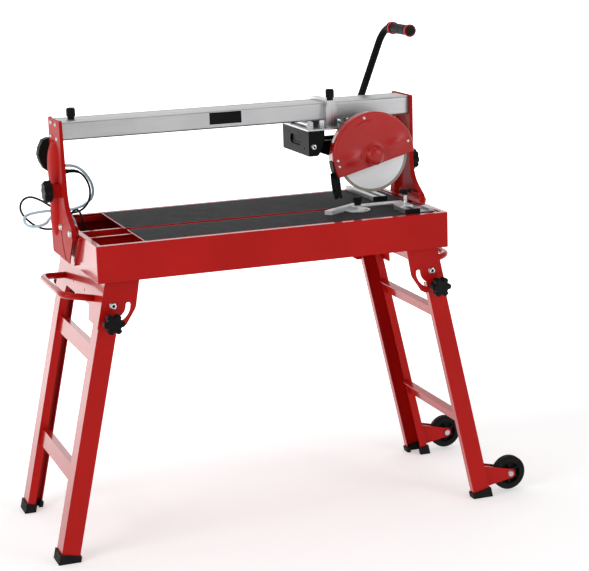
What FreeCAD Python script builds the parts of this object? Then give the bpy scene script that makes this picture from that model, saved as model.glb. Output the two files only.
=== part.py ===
import FreeCAD, Part
import math
import os

# Bridge rail wet tile saw on folding legs, in millimetres.
# Work frame: X along the table, Y to the back, Z up, floor at Z = 0 and the
# middle of the tray at X = Y = 0. Everything is moved at the end so that the
# origin is the middle of the footprint, on the floor.

# ---- sheets and fits
SHEET = 2.5            # tray, brackets and legs
TOWER_SHEET = 3.0
GAP = 0.3              # faces that pass each other
RUN = 0.05             # radial running clearance of a pin in its bore

# ---- tray and table
TRAY_L = 954.0
TRAY_W = 467.0
TRAY_H = 94.0
TABLE_Z = 820.5
TRAY_CORNER = 4.0
LIP = 14.0
BAR_H = 35.0
BAR_FLANGE = 10.0
LEDGE = 20.5
LEDGE_LEG = 15.0
BAR_FROM_SLOT = 40.0   # the two bars stand this far each side of the slot
PLATE_T = 4.5
PLATE_SIDE_GAP = 4.0
PLATE_END_GAP = 10.0
TANK_OPEN = 113.0      # open length of the tank left of the plates
SLOT_W = 23.0
SLOT_Y = -42.0         # cutting plane, and the blade's middle plane
POCKET_EDGE = 3.0
POCKET_T = 2.5
MAT_PROUD = 0.5
MAT_GAP = 0.5

# ---- leg brackets and legs
BRACKET_L = 112.0
BRACKET_HALF_W = 239.3
BRACKET_DROP = 123.3
PIVOT_IN = 40.0
PIVOT_DROP = 64.5
PIVOT_R = 5.0
LEG_SLANT = 12.41      # degrees from upright
LEG_OUT = 27.6         # outer face of a leg from its pivot, across the leg
LEG_IN = 21.2
LEG_FLANGE = 55.7
LEG_RETURN = 20.0
LEG_LIP = 22.0         # lip turned in at the outer flange's far edge
LEG_END_Z = 6.0
RUNG_Z = (529.0, 216.0)
RUNG_H = 43.0
RUNG_LIP = 20.0
RUNG_INSET = 9.0       # rung face behind the legs' outer faces
STAND_Y = 28.0         # the stand's middle lies behind the tray's
FOOT_WALL = 4.0
FOOT_H = 26.0
CLAMP_R = 39.0         # clamp shank's distance from the leg pivot
CLAMP_LAG = 1.1        # degrees from the leg's own direction
CLAMP_SHANK_R = 5.0
CLAMP_SLOT_W = 12.0
FOLD_TRAVEL = 102.0
STAR_R = 27.0
STAR_T = 24.0
PANEL_LOW = 116.3      # end panel's lowest edge under the tray
PANEL_ARCH = 252.0
PANEL_ARCH_H = 35.5
PANEL_HOLE_DROP = 56.3

# ---- carry handles
HANDLE_R = 7.0
HANDLE_OUT = 64.0
HANDLE_HALF = 109.0
HANDLE_ROOT = 156.0
HANDLE_DROP = 52.8
HANDLE_RISE = 4.0
HANDLE_BEND = 22.0

# ---- wheels
WHEEL_R = 48.0
WHEEL_W = 27.0
WHEEL_LIFT = 5.5
WHEEL_OUT = 77.5
WHEEL_Y = 210.0
TYRE_T = 13.0
AXLE_R = 5.0
FORK_R = 14.0
FORK_ROOT = 62.0
SPOKES = 6

# ---- towers, rail and tilt
TOWER_GAP = 14.5       # tray end to tower web
TOWER_TOP = 1102.5
TOWER_FRONT = 26.0
TOWER_BEHIND = 11.5    # tower's rear edge behind the rail
TOWER_LOW = 736.0
FLARE_Y = -49.5
FLARE_Z = 834.5
FLANGE_TOP = 8.0
FLANGE_LOW = 13.0
RIB_OUT = 15.0
TILT_Y = -36.0
TILT_BOLT_R = 6.0
TILT_SLOT_R = 106.0
TILT_STUD_R = 4.0
TILT_TRAVEL = 45.0
LUG_T = 3.0
RAIL_W = 103.5
RAIL_H = 48.5
RAIL_Y = 38.0
RAIL_Z = 1050.5
RAIL_WALL = 4.0
RAIL_CORNER = 6.0
LABEL_T = 0.3            # thinner than the carriage strap's gap
LOBE_R = 29.0
LEFT_KNOB = (61.0, 918.5)
RIGHT_KNOB = (60.5, 921.0)
KNOB_OUT = 22.0        # bracket that carries the left clamp knob
KNOB_BOX_Y = (44.0, 80.0)
KNOB_BOX_Z = (902.0, 935.0)
TOWER_SCREWS = ((118.0, 1090.5), (65.0, 1090.0), (128.0, 1053.5), (58.0, 1053.5))
TOWER_HEAD_R = 6.0
TOWER_HEAD_H = 3.5
LOBE_T = 22.0

# ---- switch housing and gland
BOX_BEHIND = 8.0       # housing's face behind the tower
BOX_DEPTH = 28.0
BOX_FACETS = (
    (-497.0, 1043.5), (-511.0, 1038.5), (-521.0, 1018.5), (-525.0, 1000.5), (-521.0, 982.5), (-511.0, 962.5),
    (-497.0, 952.5),
)
BOX_RIM = 0.86         # recess's share of the outline
BOX_RECESS = 3.0
GLAND_X = -463.0
GLAND_Z = 950.5
LEAD_GLAND_IN = 7.0    # lead's line behind the housing's face
HOSE_NIPPLE_Z = 965.0
GLAND_L = 24.0

# ---- carriage
CARRIAGE_X = (169.5, 333.5)
CARRIAGE_Y = (-15.0, 188.0)
CARRIAGE_T = 4.0
CARRIAGE_GAP = 15.5    # plate to the rail's underside
STRAP_X = (236.7, 268.7)
STRAP_NECK = (239.9, 263.8)
STRAP_T = 18.5
STRAP_GAP = 0.5
STRAP_TOP = 6.0
ROLLER_X = (190.0, 303.5)
ROLLER_PIN_R = 3.0
BRACKET_T = 3.0
PLUNGE_X = 185.5
PLUNGE_DROP = 43.0     # carriage plate's underside to the plunge bolt
PLUNGE_R = 5.0
HEAD_BOX_H = 68.0
HEAD_CHEEK = 46.0

# ---- head and blade
BLADE_R = 100.0
BLADE_T = 2.4
BLADE_X = 344.5
BLADE_Z = 958.0
BLADE_RIM = 8.0
ARBOR_R = 8.0
FLANGE_R = 22.0
FLANGE_T = 4.0
ARBOR_NUT_R = 11.0
ARBOR_NUT_H = 10.0
GUARD_R = 118.5
GUARD_T = 1.8
GUARD_FRONT = 12.0     # cover face in front of the blade's middle plane
GUARD_BACK = 20.0
GUARD_DROP = 26.0      # lower edge below the blade's axis
GUARD_EDGE_R = 6.0
GUARD_TILT = 14.6
# guard screws: distance inside the rim, degrees round the blade
GUARD_SCREWS = ((12.5, 90.5), (14.5, 3.5), (14.5, 178.0), (12.5, 169.0))
DOME_R = 26.0
DOME_OUT = 20.0
COLLAR_R = 32.0
BUMP_R = 35.0
MOTOR_R = 58.0
MOTOR_L = 170.0
HUB_R = 11.0
TUBE_R = 10.0
TUBE_BEHIND = 20.5      # handle tube's middle behind the rail
TUBE_BEND = 45.0
TUBE_CORNER = (471.5, 1282.0)
TUBE_END = (-23.0, 1282.0)
GRIP_R = 14.0
GRIP_L = 137.0
RING_R = 17.0
RING_T = 6.0
RING_SEATS = (6.0, 118.0)   # from the grip's front end
FLAP_IN = 1.5          # flap's middle inside the guard's rim
FLAP_T = 9.0
FLAP_W = 30.0
FLAP_H = 77.0
FLAP_CORNER = (18.0, 15.0)   # front corner cut off, so the flap clears the stop when tilted

# ---- fence
FENCE_X = 386.0
FENCE_W = 40.0
FENCE_H = 12.0
FENCE_GROOVE = 12.0
FENCE_REAR = (6.5, 219.0)
FENCE_FRONT = (-212.5, -128.7)
CAP_T = 7.0
ARM_T = 3.5
POST_R = 12.0
POST_X = 273.6
POST_Y = -100.0

# ---- cords
LEAD_R = 3.0
HOSE_R = 4.0
NIPPLE_L = 12.0
PUMP_H = 44.0
SPIGOT_H = 6.0
PUMP_HOSE = (-430.0, 178.0)
PUMP_LEAD = (-408.0, 178.0)

# ---- places that follow
TRAY_LOW = TABLE_Z - TRAY_H
END_X = TRAY_L / 2
SIDE_Y = TRAY_W / 2
PLATE_X = (LIP + TANK_OPEN - END_X, END_X - LIP - PLATE_END_GAP)
PLATE_SIDE = SIDE_Y - LIP - PLATE_SIDE_GAP
SLOT_SIDES = (SLOT_Y - SLOT_W / 2, SLOT_Y + SLOT_W / 2)
PLATE_UNDER = TABLE_Z - PLATE_T
MAT_TOP = TABLE_Z + MAT_PROUD
PIVOT_X = -(END_X - PIVOT_IN)
PIVOT_Z = TRAY_LOW - PIVOT_DROP
LEG_Y = BRACKET_HALF_W - SHEET - GAP
WEB_X = END_X + TOWER_GAP
TOWER_X = WEB_X + TOWER_SHEET
RAIL_TOP = RAIL_Z + RAIL_H
CARRIAGE_TOP = RAIL_Z - CARRIAGE_GAP
CARRIAGE_LOW = CARRIAGE_TOP - CARRIAGE_T
PLUNGE_Z = CARRIAGE_LOW - PLUNGE_DROP
ROLLER_R = CARRIAGE_GAP / 2 - 0.2
GUARD_Y = (SLOT_Y - GUARD_FRONT, SLOT_Y + GUARD_BACK)
STRAP_FRONT = RAIL_Y - STRAP_GAP - STRAP_T
TOWER_Y = (TOWER_FRONT, RAIL_Y + RAIL_W + TOWER_BEHIND)
TUBE_Y = RAIL_Y + RAIL_W + TUBE_BEHIND
BOX_FACE_Y = TOWER_Y[1] + BOX_BEHIND
BOX_BACK_Y = BOX_FACE_Y + BOX_DEPTH
LEAD_GLAND_Y = BOX_FACE_Y + LEAD_GLAND_IN
LEAN = math.radians(LEG_SLANT)
CLAMP_ANGLE = -90.0 - LEG_SLANT - CLAMP_LAG
STUD_Y = TILT_Y + TILT_SLOT_R
FLAP_TOP_X = BLADE_X - GUARD_R + FLAP_IN
PARTS = {}


# ---------------------------------------------------------------- shape tools
def vec(x, y, z):
    return FreeCAD.Vector(x, y, z)


def on_plane(axis, a, b, at):
    """Point with in-plane coordinates a, b on the plane across axis."""
    if axis == "x":
        return vec(at, a, b)
    if axis == "y":
        return vec(a, at, b)
    return vec(a, b, at)


def along(axis, length):
    return on_plane(axis, 0, 0, length)


def box(x, y, z):
    """Box between three pairs of limits."""
    return Part.makeBox(x[1] - x[0], y[1] - y[0], z[1] - z[0], vec(x[0], y[0], z[0]))


def cylinder(axis, centre, span, radius):
    base = on_plane(axis, centre[0], centre[1], span[0])
    return Part.makeCylinder(radius, span[1] - span[0], base, along(axis, 1))


def ring(axis, centre, span, radius, bore):
    return cylinder(axis, centre, span, radius).cut(cylinder(axis, centre, span, bore))


def joined(shapes):
    """One solid from shapes that touch."""
    whole = shapes[0].multiFuse(shapes[1:]) if len(shapes) > 1 else shapes[0]
    return whole.removeSplitter()


def without(shape, tools):
    return shape.cut(Part.makeCompound(tools))


def mirror_x(shape):
    return shape.mirror(vec(0, 0, 0), vec(1, 0, 0))


def mirror_y(shape):
    return shape.mirror(vec(0, 0, 0), vec(0, 1, 0))


def front_and_back(shape):
    return [shape, mirror_y(shape)]


def rounded_wire(axis, outline, at):
    """Closed wire through the corners; a corner's third number rounds it."""
    turns = []
    for index, corner in enumerate(outline):
        here = on_plane(axis, corner[0], corner[1], at)
        if len(corner) == 2:
            turns.append((here, None, here))
            continue
        before = outline[index - 1]
        after = outline[(index + 1) % len(outline)]
        to_before = (on_plane(axis, before[0], before[1], at) - here).normalize()
        to_after = (on_plane(axis, after[0], after[1], at) - here).normalize()
        half = to_before.getAngle(to_after) / 2
        setback = corner[2] / math.tan(half)
        inward = (to_before + to_after).normalize()
        middle = here + inward * (corner[2] / math.sin(half) - corner[2])
        turns.append((here + to_before * setback, middle, here + to_after * setback))
    edges = []
    for index, (start, middle, end) in enumerate(turns):
        if middle is not None:
            edges.append(Part.Arc(start, middle, end).toShape())
        follows = turns[(index + 1) % len(turns)][0]
        if end.distanceToPoint(follows) > 1e-6:
            edges.append(Part.LineSegment(end, follows).toShape())
    return Part.Wire(edges)


def prism(axis, outline, span):
    """Outline drawn across axis and carried from one end of span to the other."""
    face = Part.Face(rounded_wire(axis, outline, span[0]))
    return face.extrude(along(axis, span[1] - span[0]))


def turned(axis, centre, outline):
    """Solid of revolution; the outline's points are (along the axis, radius)."""
    corners = []
    for point in outline:
        corners.append(tuple(point[:2]) + tuple(point[2:]))
    if axis == "x":
        plan = [(p[0], centre[0] + p[1]) + p[2:] for p in corners]
        wire = rounded_wire("z", plan, centre[1])
        base = vec(0, centre[0], centre[1])
    elif axis == "y":
        plan = [(centre[0] + p[1], p[0]) + p[2:] for p in corners]
        wire = rounded_wire("z", plan, centre[1])
        base = vec(centre[0], 0, centre[1])
    else:
        plan = [(centre[0] + p[1], p[0]) + p[2:] for p in corners]
        wire = rounded_wire("y", plan, centre[1])
        base = vec(centre[0], centre[1], 0)
    return Part.Face(wire).revolve(base, along(axis, 1), 360)


def lobed(axis, centre, span, radius, lobes, depth, start=0.0):
    """Knob body with rounded lobes and hollows round its rim."""
    step = 2 * math.pi / lobes
    edges = []

    def rim(angle, distance):
        a = centre[0] + distance * math.cos(angle)
        b = centre[1] + distance * math.sin(angle)
        return on_plane(axis, a, b, span[0])

    for lobe in range(lobes):
        middle = math.radians(start) + lobe * step
        left = rim(middle - 0.30 * step, radius - 0.35 * depth)
        right = rim(middle + 0.30 * step, radius - 0.35 * depth)
        follows = rim(middle + 0.70 * step, radius - 0.35 * depth)
        edges.append(Part.Arc(left, rim(middle, radius), right).toShape())
        edges.append(Part.Arc(right, rim(middle + 0.5 * step, radius - depth), follows).toShape())
    return Part.Face(Part.Wire(edges)).extrude(along(axis, span[1] - span[0]))


def routed(points, bend):
    """Wire of straight runs joined by tangent arcs of the radius bend(i, limit)."""
    runs = [(b - a).Length for a, b in zip(points, points[1:])]
    edges = []
    last = points[0]
    for index in range(1, len(points) - 1):
        here = points[index]
        back = (points[index - 1] - here).normalize()
        ahead = (points[index + 1] - here).normalize()
        half_turn = (math.pi - back.getAngle(ahead)) / 2
        largest = 0.45 * min(runs[index - 1], runs[index]) / math.tan(half_turn)
        radius = bend(largest)
        setback = radius * math.tan(half_turn)
        start = here + back * setback
        end = here + ahead * setback
        inward = (back + ahead).normalize()
        middle = here + inward * (radius / math.cos(half_turn) - radius)
        edges.append(Part.LineSegment(last, start).toShape())
        edges.append(Part.Arc(start, middle, end).toShape())
        last = end
    edges.append(Part.LineSegment(last, points[-1]).toShape())
    return Part.Wire(edges)


def tube(path, start, direction, radius):
    section = Part.Wire(Part.makeCircle(radius, start, direction))
    return path.makePipeShell([section], True, False)


def bent_tube(points, radius, bend):
    path = routed(points, lambda largest: min(bend, largest))
    return tube(path, points[0], points[1] - points[0], radius)


def cord(name, points, radius):
    """Free cord: every arc as large as its two runs allow."""
    radii = []

    def bend(largest):
        radii.append(largest)
        return largest

    path = routed(points, bend)
    solid = tube(path, points[0], points[1] - points[0], radius)
    expected = math.pi * radius ** 2 * path.Length
    shown = ", ".join("%.1f" % r for r in radii)
    print(
        "%s: length %.1f, volume ratio %.5f, radii %s" % (name, path.Length, solid.Volume / expected, shown),
    )
    return solid


def arc_slot(axis, centre, radius, width, first, last, span):
    """Curved slot about centre, rounded at both ends; angles in degrees."""
    half = width / 2
    middle = math.radians((first + last) / 2)

    def at(distance, degrees):
        angle = math.radians(degrees)
        return on_plane(
            axis, centre[0] + distance * math.cos(angle), centre[1] + distance * math.sin(angle), span[0],
        )

    def mid(distance):
        return at(distance, math.degrees(middle))

    def cap(degrees, side):
        angle = math.radians(degrees)
        a = centre[0] + radius * math.cos(angle) - side * half * math.sin(angle)
        b = centre[1] + radius * math.sin(angle) + side * half * math.cos(angle)
        return on_plane(axis, a, b, span[0])

    edges = [
        Part.Arc(at(radius + half, first), mid(radius + half), at(radius + half, last)).toShape(),
        Part.Arc(at(radius + half, last), cap(last, 1), at(radius - half, last)).toShape(),
        Part.Arc(at(radius - half, last), mid(radius - half), at(radius - half, first)).toShape(),
        Part.Arc(at(radius - half, first), cap(first, -1), at(radius + half, first)).toShape(),
    ]
    return Part.Face(Part.Wire(edges)).extrude(along(axis, span[1] - span[0]))


def turned_about_blade(shape):
    """Guard pieces are drawn level and leaned back with the raised head."""
    return shape.rotate(vec(BLADE_X, 0, BLADE_Z), vec(0, 1, 0), -GUARD_TILT)


# ------------------------------------------------------------- tray and table
def tray():
    """Folded box with a rolled-in lip, two cross bars and side ledges."""
    shell = box((-END_X, END_X), (-SIDE_Y, SIDE_Y), (TRAY_LOW, TABLE_Z))
    upright = [edge for edge in shell.Edges if abs(edge.BoundBox.ZLength - TRAY_H) < 1e-6]
    shell = shell.makeFillet(TRAY_CORNER, upright)
    inner_x = END_X - SHEET
    inner_y = SIDE_Y - SHEET
    hollow = box((-inner_x, inner_x), (-inner_y, inner_y), (TRAY_LOW + SHEET, TABLE_Z - SHEET))
    mouth = box((LIP - END_X, END_X - LIP), (LIP - SIDE_Y, SIDE_Y - LIP), (TABLE_Z - SHEET, TABLE_Z))
    pieces = [shell.cut(hollow).cut(mouth)]
    for bar_y, side in ((SLOT_Y + BAR_FROM_SLOT, 1), (SLOT_Y - BAR_FROM_SLOT, -1)):
        web = sorted((bar_y, bar_y + side * SHEET))
        top = sorted((bar_y, bar_y + side * BAR_FLANGE))
        pieces.append(box((-inner_x, inner_x), web, (PLATE_UNDER - BAR_H, PLATE_UNDER)))
        pieces.append(box((-inner_x, inner_x), top, (PLATE_UNDER - SHEET, PLATE_UNDER)))
    ledge = box((-inner_x, inner_x), (inner_y - LEDGE, inner_y), (PLATE_UNDER - SHEET, PLATE_UNDER))
    leg = box(
        (-inner_x, inner_x), (inner_y - LEDGE, inner_y - LEDGE + SHEET),
        (PLATE_UNDER - LEDGE_LEG, PLATE_UNDER),
    )
    for piece in (ledge, leg):
        pieces += front_and_back(piece)
    return joined(pieces)


def pocket_area(y, edge):
    return ((PLATE_X[0] + edge, PLATE_X[1] - edge), (y[0] + edge, y[1] - edge))


def table_plate(y):
    """Plate with a shallow pocket for its rubber mat."""
    area_x, area_y = pocket_area(y, POCKET_EDGE)
    plate = box(PLATE_X, y, (PLATE_UNDER, TABLE_Z))
    return plate.cut(box(area_x, area_y, (TABLE_Z - POCKET_T, TABLE_Z)))


def mat(y):
    area_x, area_y = pocket_area(y, POCKET_EDGE + MAT_GAP)
    return box(area_x, area_y, (TABLE_Z - POCKET_T, MAT_TOP))


def table():
    rear = (SLOT_SIDES[1], PLATE_SIDE)
    front = (-PLATE_SIDE, SLOT_SIDES[0])
    PARTS["rear_table_plate"] = table_plate(rear)
    PARTS["front_table_plate"] = table_plate(front)
    PARTS["table_mats"] = Part.makeCompound([mat(rear), mat(front)])


# ------------------------------------------------------------ stand (left end)


def on_leg(down, out):
    """Point (x, z) of the left leg: distance down it and out across it."""
    x = PIVOT_X - down * math.sin(LEAN) - out * math.cos(LEAN)
    z = PIVOT_Z - down * math.cos(LEAN) + out * math.sin(LEAN)
    return (x, z)


def leg_down_at(z, out):
    """Distance down the leg where its line at `out` reaches height z."""
    return (PIVOT_Z - z + out * math.sin(LEAN)) / math.cos(LEAN)


def slanted_x(z):
    """Outer face of the bracket's end: parallel to the leg, outside it."""
    out = LEG_OUT + GAP + SHEET
    return on_leg(leg_down_at(z, out), out)[0]


def clamp_place():
    angle = math.radians(CLAMP_ANGLE)
    return (PIVOT_X + CLAMP_R * math.cos(angle), PIVOT_Z + CLAMP_R * math.sin(angle))


def end_sheet(y, inner=SHEET):
    """Slanted sheet from the tray down past the bracket."""
    low = TRAY_LOW - 2 * BRACKET_DROP
    return prism("y", [
        (slanted_x(TRAY_LOW), TRAY_LOW),
        (slanted_x(TRAY_LOW) + inner, TRAY_LOW),
        (slanted_x(low) + inner, low),
        (slanted_x(low), low),
    ], y)


def leg_bracket():
    """Folded bracket: side plates with a curved slot, end panel and top."""
    low = TRAY_LOW - BRACKET_DROP
    inner_x = BRACKET_L - END_X
    side_low = inner_x - 44.0
    side = [
        (slanted_x(TRAY_LOW), TRAY_LOW),
        (inner_x, TRAY_LOW),
        (inner_x - 13.0, PIVOT_Z - 10.0, 30.0),
        (side_low + 4.0, low + 7.0, 12.0),
        (side_low - 8.0, low, 8.0),
        (slanted_x(low), low, 4.0),
    ]
    sides = (-BRACKET_HALF_W, SHEET - BRACKET_HALF_W)
    plate = prism("y", side, sides)
    plate = plate.cut(cylinder("y", (PIVOT_X, PIVOT_Z), sides, PIVOT_R))
    slot = arc_slot(
        "y", (PIVOT_X, PIVOT_Z), CLAMP_R, CLAMP_SLOT_W, CLAMP_ANGLE - 1, CLAMP_ANGLE + FOLD_TRAVEL + 1,
        sides,
    )
    plate = plate.cut(slot)
    panel_low = TRAY_LOW - PANEL_LOW
    half_arch = PANEL_ARCH / 2
    arch_z = panel_low + PANEL_ARCH_H
    half_w = BRACKET_HALF_W
    panel = [
        (-half_w, TRAY_LOW),
        (half_w, TRAY_LOW),
        (half_w, panel_low, 6.0),
        (half_arch + 15.0, panel_low, 6.0),
        (half_arch, arch_z, 8.0),
        (-half_arch, arch_z, 8.0),
        (-half_arch - 15.0, panel_low, 6.0),
        (-half_w, panel_low, 6.0),
    ]
    reach = (slanted_x(low) - 10.0, inner_x)
    end = prism("x", panel, reach).common(end_sheet((-half_w, half_w)))
    holes = [cylinder("x", (y, TRAY_LOW - PANEL_HOLE_DROP), reach, 3.5) for y in (-60.0, 60.0)]
    end = without(end, holes)
    top = box((slanted_x(TRAY_LOW), inner_x), (-half_w, half_w), (TRAY_LOW - SHEET, TRAY_LOW))
    top = top.cut(prism("x", panel, (slanted_x(low), slanted_x(low) + 1.0)))
    return joined([top, end] + front_and_back(plate))


def leg_outline(parts):
    return [on_leg(down, out) + tuple(rest) for down, out, *rest in parts]


def leg():
    """Front left leg: J section with a rounded head, its foot end cut level."""
    end_out = leg_down_at(LEG_END_Z, LEG_OUT)
    end_in = leg_down_at(LEG_END_Z, -LEG_IN)
    face_span = (-LEG_Y, SHEET - LEG_Y)
    middle_out = (LEG_OUT - LEG_IN) / 2
    face = prism(
        "y", leg_outline([(0, LEG_OUT), (end_out, LEG_OUT), (end_in, -LEG_IN), (0, -LEG_IN)]), face_span,
    )
    head = cylinder("y", on_leg(0, middle_out), face_span, (LEG_OUT + LEG_IN) / 2)
    inner_out = leg_down_at(LEG_END_Z, LEG_OUT - SHEET)
    outer_strip = leg_outline(
        [(0, LEG_OUT), (end_out, LEG_OUT), (inner_out, LEG_OUT - SHEET), (0, LEG_OUT - SHEET)],
    )
    outer = prism("y", outer_strip, (-LEG_Y, LEG_FLANGE - LEG_Y))
    inner_in = leg_down_at(LEG_END_Z, SHEET - LEG_IN)
    inner_strip = leg_outline(
        [(30, -LEG_IN), (end_in, -LEG_IN), (inner_in, SHEET - LEG_IN), (30, SHEET - LEG_IN)],
    )
    inner = prism("y", inner_strip, (-LEG_Y, LEG_RETURN - LEG_Y))
    lip_in = leg_down_at(LEG_END_Z, LEG_OUT - LEG_LIP)
    lip_strip = leg_outline(
        [(4, LEG_OUT), (end_out, LEG_OUT), (lip_in, LEG_OUT - LEG_LIP), (4, LEG_OUT - LEG_LIP)],
    )
    lip = prism("y", lip_strip, (LEG_FLANGE - SHEET - LEG_Y, LEG_FLANGE - LEG_Y))
    solid = joined([face, head, outer, inner, lip])
    clamp = clamp_place()
    bores = [
        cylinder("y", (PIVOT_X, PIVOT_Z), face_span, PIVOT_R + RUN),
        cylinder("y", clamp, face_span, CLAMP_SHANK_R + RUN),
    ]
    return without(solid, bores)


def rung(z):
    """Angle strip between the lips of the two legs."""
    out = LEG_OUT - RUNG_INSET
    down = leg_down_at(z, out)
    half = RUNG_H / 2
    half_y = LEG_Y - LEG_FLANGE
    face = leg_outline(
        [(down - half, out), (down + half, out), (down + half, out - SHEET), (down - half, out - SHEET)],
    )
    inner = out - RUNG_LIP
    lip = leg_outline(
        [(down - half, out), (down - half + SHEET, out), (down - half + SHEET, inner), (down - half, inner)],
    )
    return joined([prism("y", face, (-half_y, half_y)), prism("y", lip, (-half_y, half_y))])


def leg_frame():
    pieces = front_and_back(leg())
    for z in RUNG_Z:
        pieces.append(rung(z))
    return joined(pieces)


def foot():
    """Rubber shoe round the J section's end, level on the floor."""
    top = leg_down_at(FOOT_H, LEG_OUT)
    low = leg_down_at(-20.0, LEG_OUT)
    out = LEG_OUT + FOOT_WALL
    back = LEG_IN + FOOT_WALL
    width = LEG_FLANGE + FOOT_WALL
    block = prism(
        "y", leg_outline([(top, out), (low, out), (low, -back), (top, -back)]),
        (-LEG_Y - FOOT_WALL, width - LEG_Y),
    )
    skin = SHEET + FOOT_WALL
    inside = leg_outline(
        [(top, LEG_OUT - skin), (low, LEG_OUT - skin), (low, skin - LEG_IN), (top, skin - LEG_IN)],
    )
    room = prism("y", inside, (skin - LEG_Y, LEG_FLANGE - skin - LEG_Y))
    side = LEG_OUT - LEG_LIP - FOOT_WALL
    behind = leg_outline([(top, side), (low, side), (low, -back), (top, -back)])
    short = prism("y", behind, (LEG_RETURN + FOOT_WALL - LEG_Y, width - LEG_Y))
    below = box((-END_X - 300, 0), (-SIDE_Y - 50, 0), (-100, 0))
    return without(block, [room, short, below])


def feet(frame):
    shoe = foot().cut(frame)
    return front_and_back(shoe)


def star_knob():
    """Front left clamp: star grip, collar, shank and the nut inside the leg."""
    clamp = clamp_place()
    outer = -BRACKET_HALF_W
    collar_end = outer - 26.0
    grip_end = collar_end - STAR_T
    inner = SHEET - LEG_Y
    grip = lobed("y", clamp, (grip_end + 4.0, collar_end), STAR_R, 6, 8.0)
    crown = lobed("y", clamp, (grip_end, grip_end + 4.0), STAR_R - 3.0, 6, 7.0)
    collar = turned("y", clamp, [(collar_end, 0), (collar_end, 15.0), (outer - GAP, 11.0), (outer - GAP, 0)])
    shank = cylinder("y", clamp, (outer - GAP, inner + GAP), CLAMP_SHANK_R)
    nut = cylinder("y", clamp, (inner + GAP, inner + 8.0), 9.0)
    return joined([grip, crown, collar, shank, nut])


def pivot_bolt():
    """Front left leg pivot: round head outside, nut inside."""
    outer = -BRACKET_HALF_W
    inner = SHEET - LEG_Y
    centre = (PIVOT_X, PIVOT_Z)
    head = turned("y", centre, [(outer - 5.0, 0), (outer - 5.0, 7.0, 2.0), (outer, 10.0), (outer, 0)])
    shank = cylinder("y", centre, (outer, inner + GAP), PIVOT_R)
    nut = cylinder("y", centre, (inner + GAP, inner + 7.0), 9.0)
    return joined([head, shank, nut])


def carry_handle():
    """Left handle: bent tube standing off the end panel."""
    root_z = TRAY_LOW - HANDLE_DROP
    bar_x = -END_X - HANDLE_OUT
    root_x = slanted_x(root_z) + 4 * HANDLE_R
    bar_z = root_z + HANDLE_RISE
    points = [
        vec(root_x, -HANDLE_ROOT, root_z),
        vec(bar_x, -HANDLE_HALF, bar_z),
        vec(bar_x, HANDLE_HALF, bar_z),
        vec(root_x, HANDLE_ROOT, root_z),
    ]
    solid = bent_tube(points, HANDLE_R, HANDLE_BEND)
    return solid.cut(end_sheet((-SIDE_Y, SIDE_Y), inner=BRACKET_L))


def wheel_place():
    """Axle of the front wheel on the right frame, drawn on the left."""
    z = WHEEL_LIFT + WHEEL_R
    x = on_leg(leg_down_at(z, LEG_OUT), LEG_OUT)[0] - WHEEL_OUT
    return (x, z)


def fork():
    """Base on the leg's flange and two tapered ears round the wheel."""
    axle = wheel_place()
    down = leg_down_at(axle[1] + 4.0, LEG_OUT)
    half = FORK_ROOT / 2
    ear_in = WHEEL_W / 2 + 1.5
    base_y = (-WHEEL_Y - ear_in - SHEET, -WHEEL_Y + ear_in + SHEET)
    plate = [
        (down - half, LEG_OUT), (down + half, LEG_OUT), (down + half, LEG_OUT + SHEET),
        (down - half, LEG_OUT + SHEET),
    ]
    base = prism("y", leg_outline(plate), base_y)
    high = on_leg(down - half, LEG_OUT)
    low = on_leg(down + half, LEG_OUT)
    pieces = [base]
    for ear_y in (base_y[0], base_y[1] - SHEET):
        span = (ear_y, ear_y + SHEET)
        ear = prism(
            "y", [high, (axle[0] + 3.0, axle[1] + FORK_R), (axle[0] + 3.0, axle[1] - FORK_R), low], span,
        )
        tip = cylinder("y", axle, span, FORK_R)
        ear = joined([ear, tip])
        pieces.append(ear.cut(cylinder("y", axle, span, AXLE_R)))
    return joined(pieces)


def wheel_bolt():
    axle = wheel_place()
    ear_out = WHEEL_W / 2 + 1.5 + SHEET
    outer = -WHEEL_Y - ear_out
    inner = -WHEEL_Y + ear_out
    shank = cylinder("y", axle, (outer, inner), AXLE_R)
    head = turned("y", axle, [(outer - 4.0, 0), (outer - 4.0, 7.0, 2.0), (outer, 9.0), (outer, 0)])
    nut = cylinder("y", axle, (inner, inner + 5.0), 8.0)
    return joined([head, shank, nut])


def tyre():
    axle = wheel_place()
    half = WHEEL_W / 2
    bore = WHEEL_R - TYRE_T
    outline = [
        (-WHEEL_Y - half + 2.0, bore),
        (-WHEEL_Y - half, WHEEL_R - 6.0, 3.0),
        (-WHEEL_Y - half + 5.0, WHEEL_R, 4.0),
        (-WHEEL_Y + half - 5.0, WHEEL_R, 4.0),
        (-WHEEL_Y + half, WHEEL_R - 6.0, 3.0),
        (-WHEEL_Y + half - 2.0, bore),
    ]
    return turned("y", axle, outline)


def wheel_hub():
    """Rim, boss and spokes in one moulding."""
    axle = wheel_place()
    half = WHEEL_W / 2
    rim_r = WHEEL_R - TYRE_T
    wide = (-WHEEL_Y - half + 2.0, -WHEEL_Y + half - 2.0)
    boss = (-WHEEL_Y - half, -WHEEL_Y + half)
    pieces = [
        ring("y", axle, wide, rim_r, rim_r - 5.0),
        cylinder("y", axle, boss, 12.0),
    ]
    for index in range(SPOKES):
        spoke = box(
            (axle[0] - 4.0, axle[0] + 4.0), (wide[0] + 4.0, wide[1] - 4.0),
            (axle[1] + 8.0, axle[1] + rim_r - 3.0),
        )
        pieces.append(spoke.rotate(vec(axle[0], 0, axle[1]), vec(0, 1, 0), index * 360 / SPOKES))
    return joined(pieces).cut(cylinder("y", axle, boss, AXLE_R + RUN))


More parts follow.
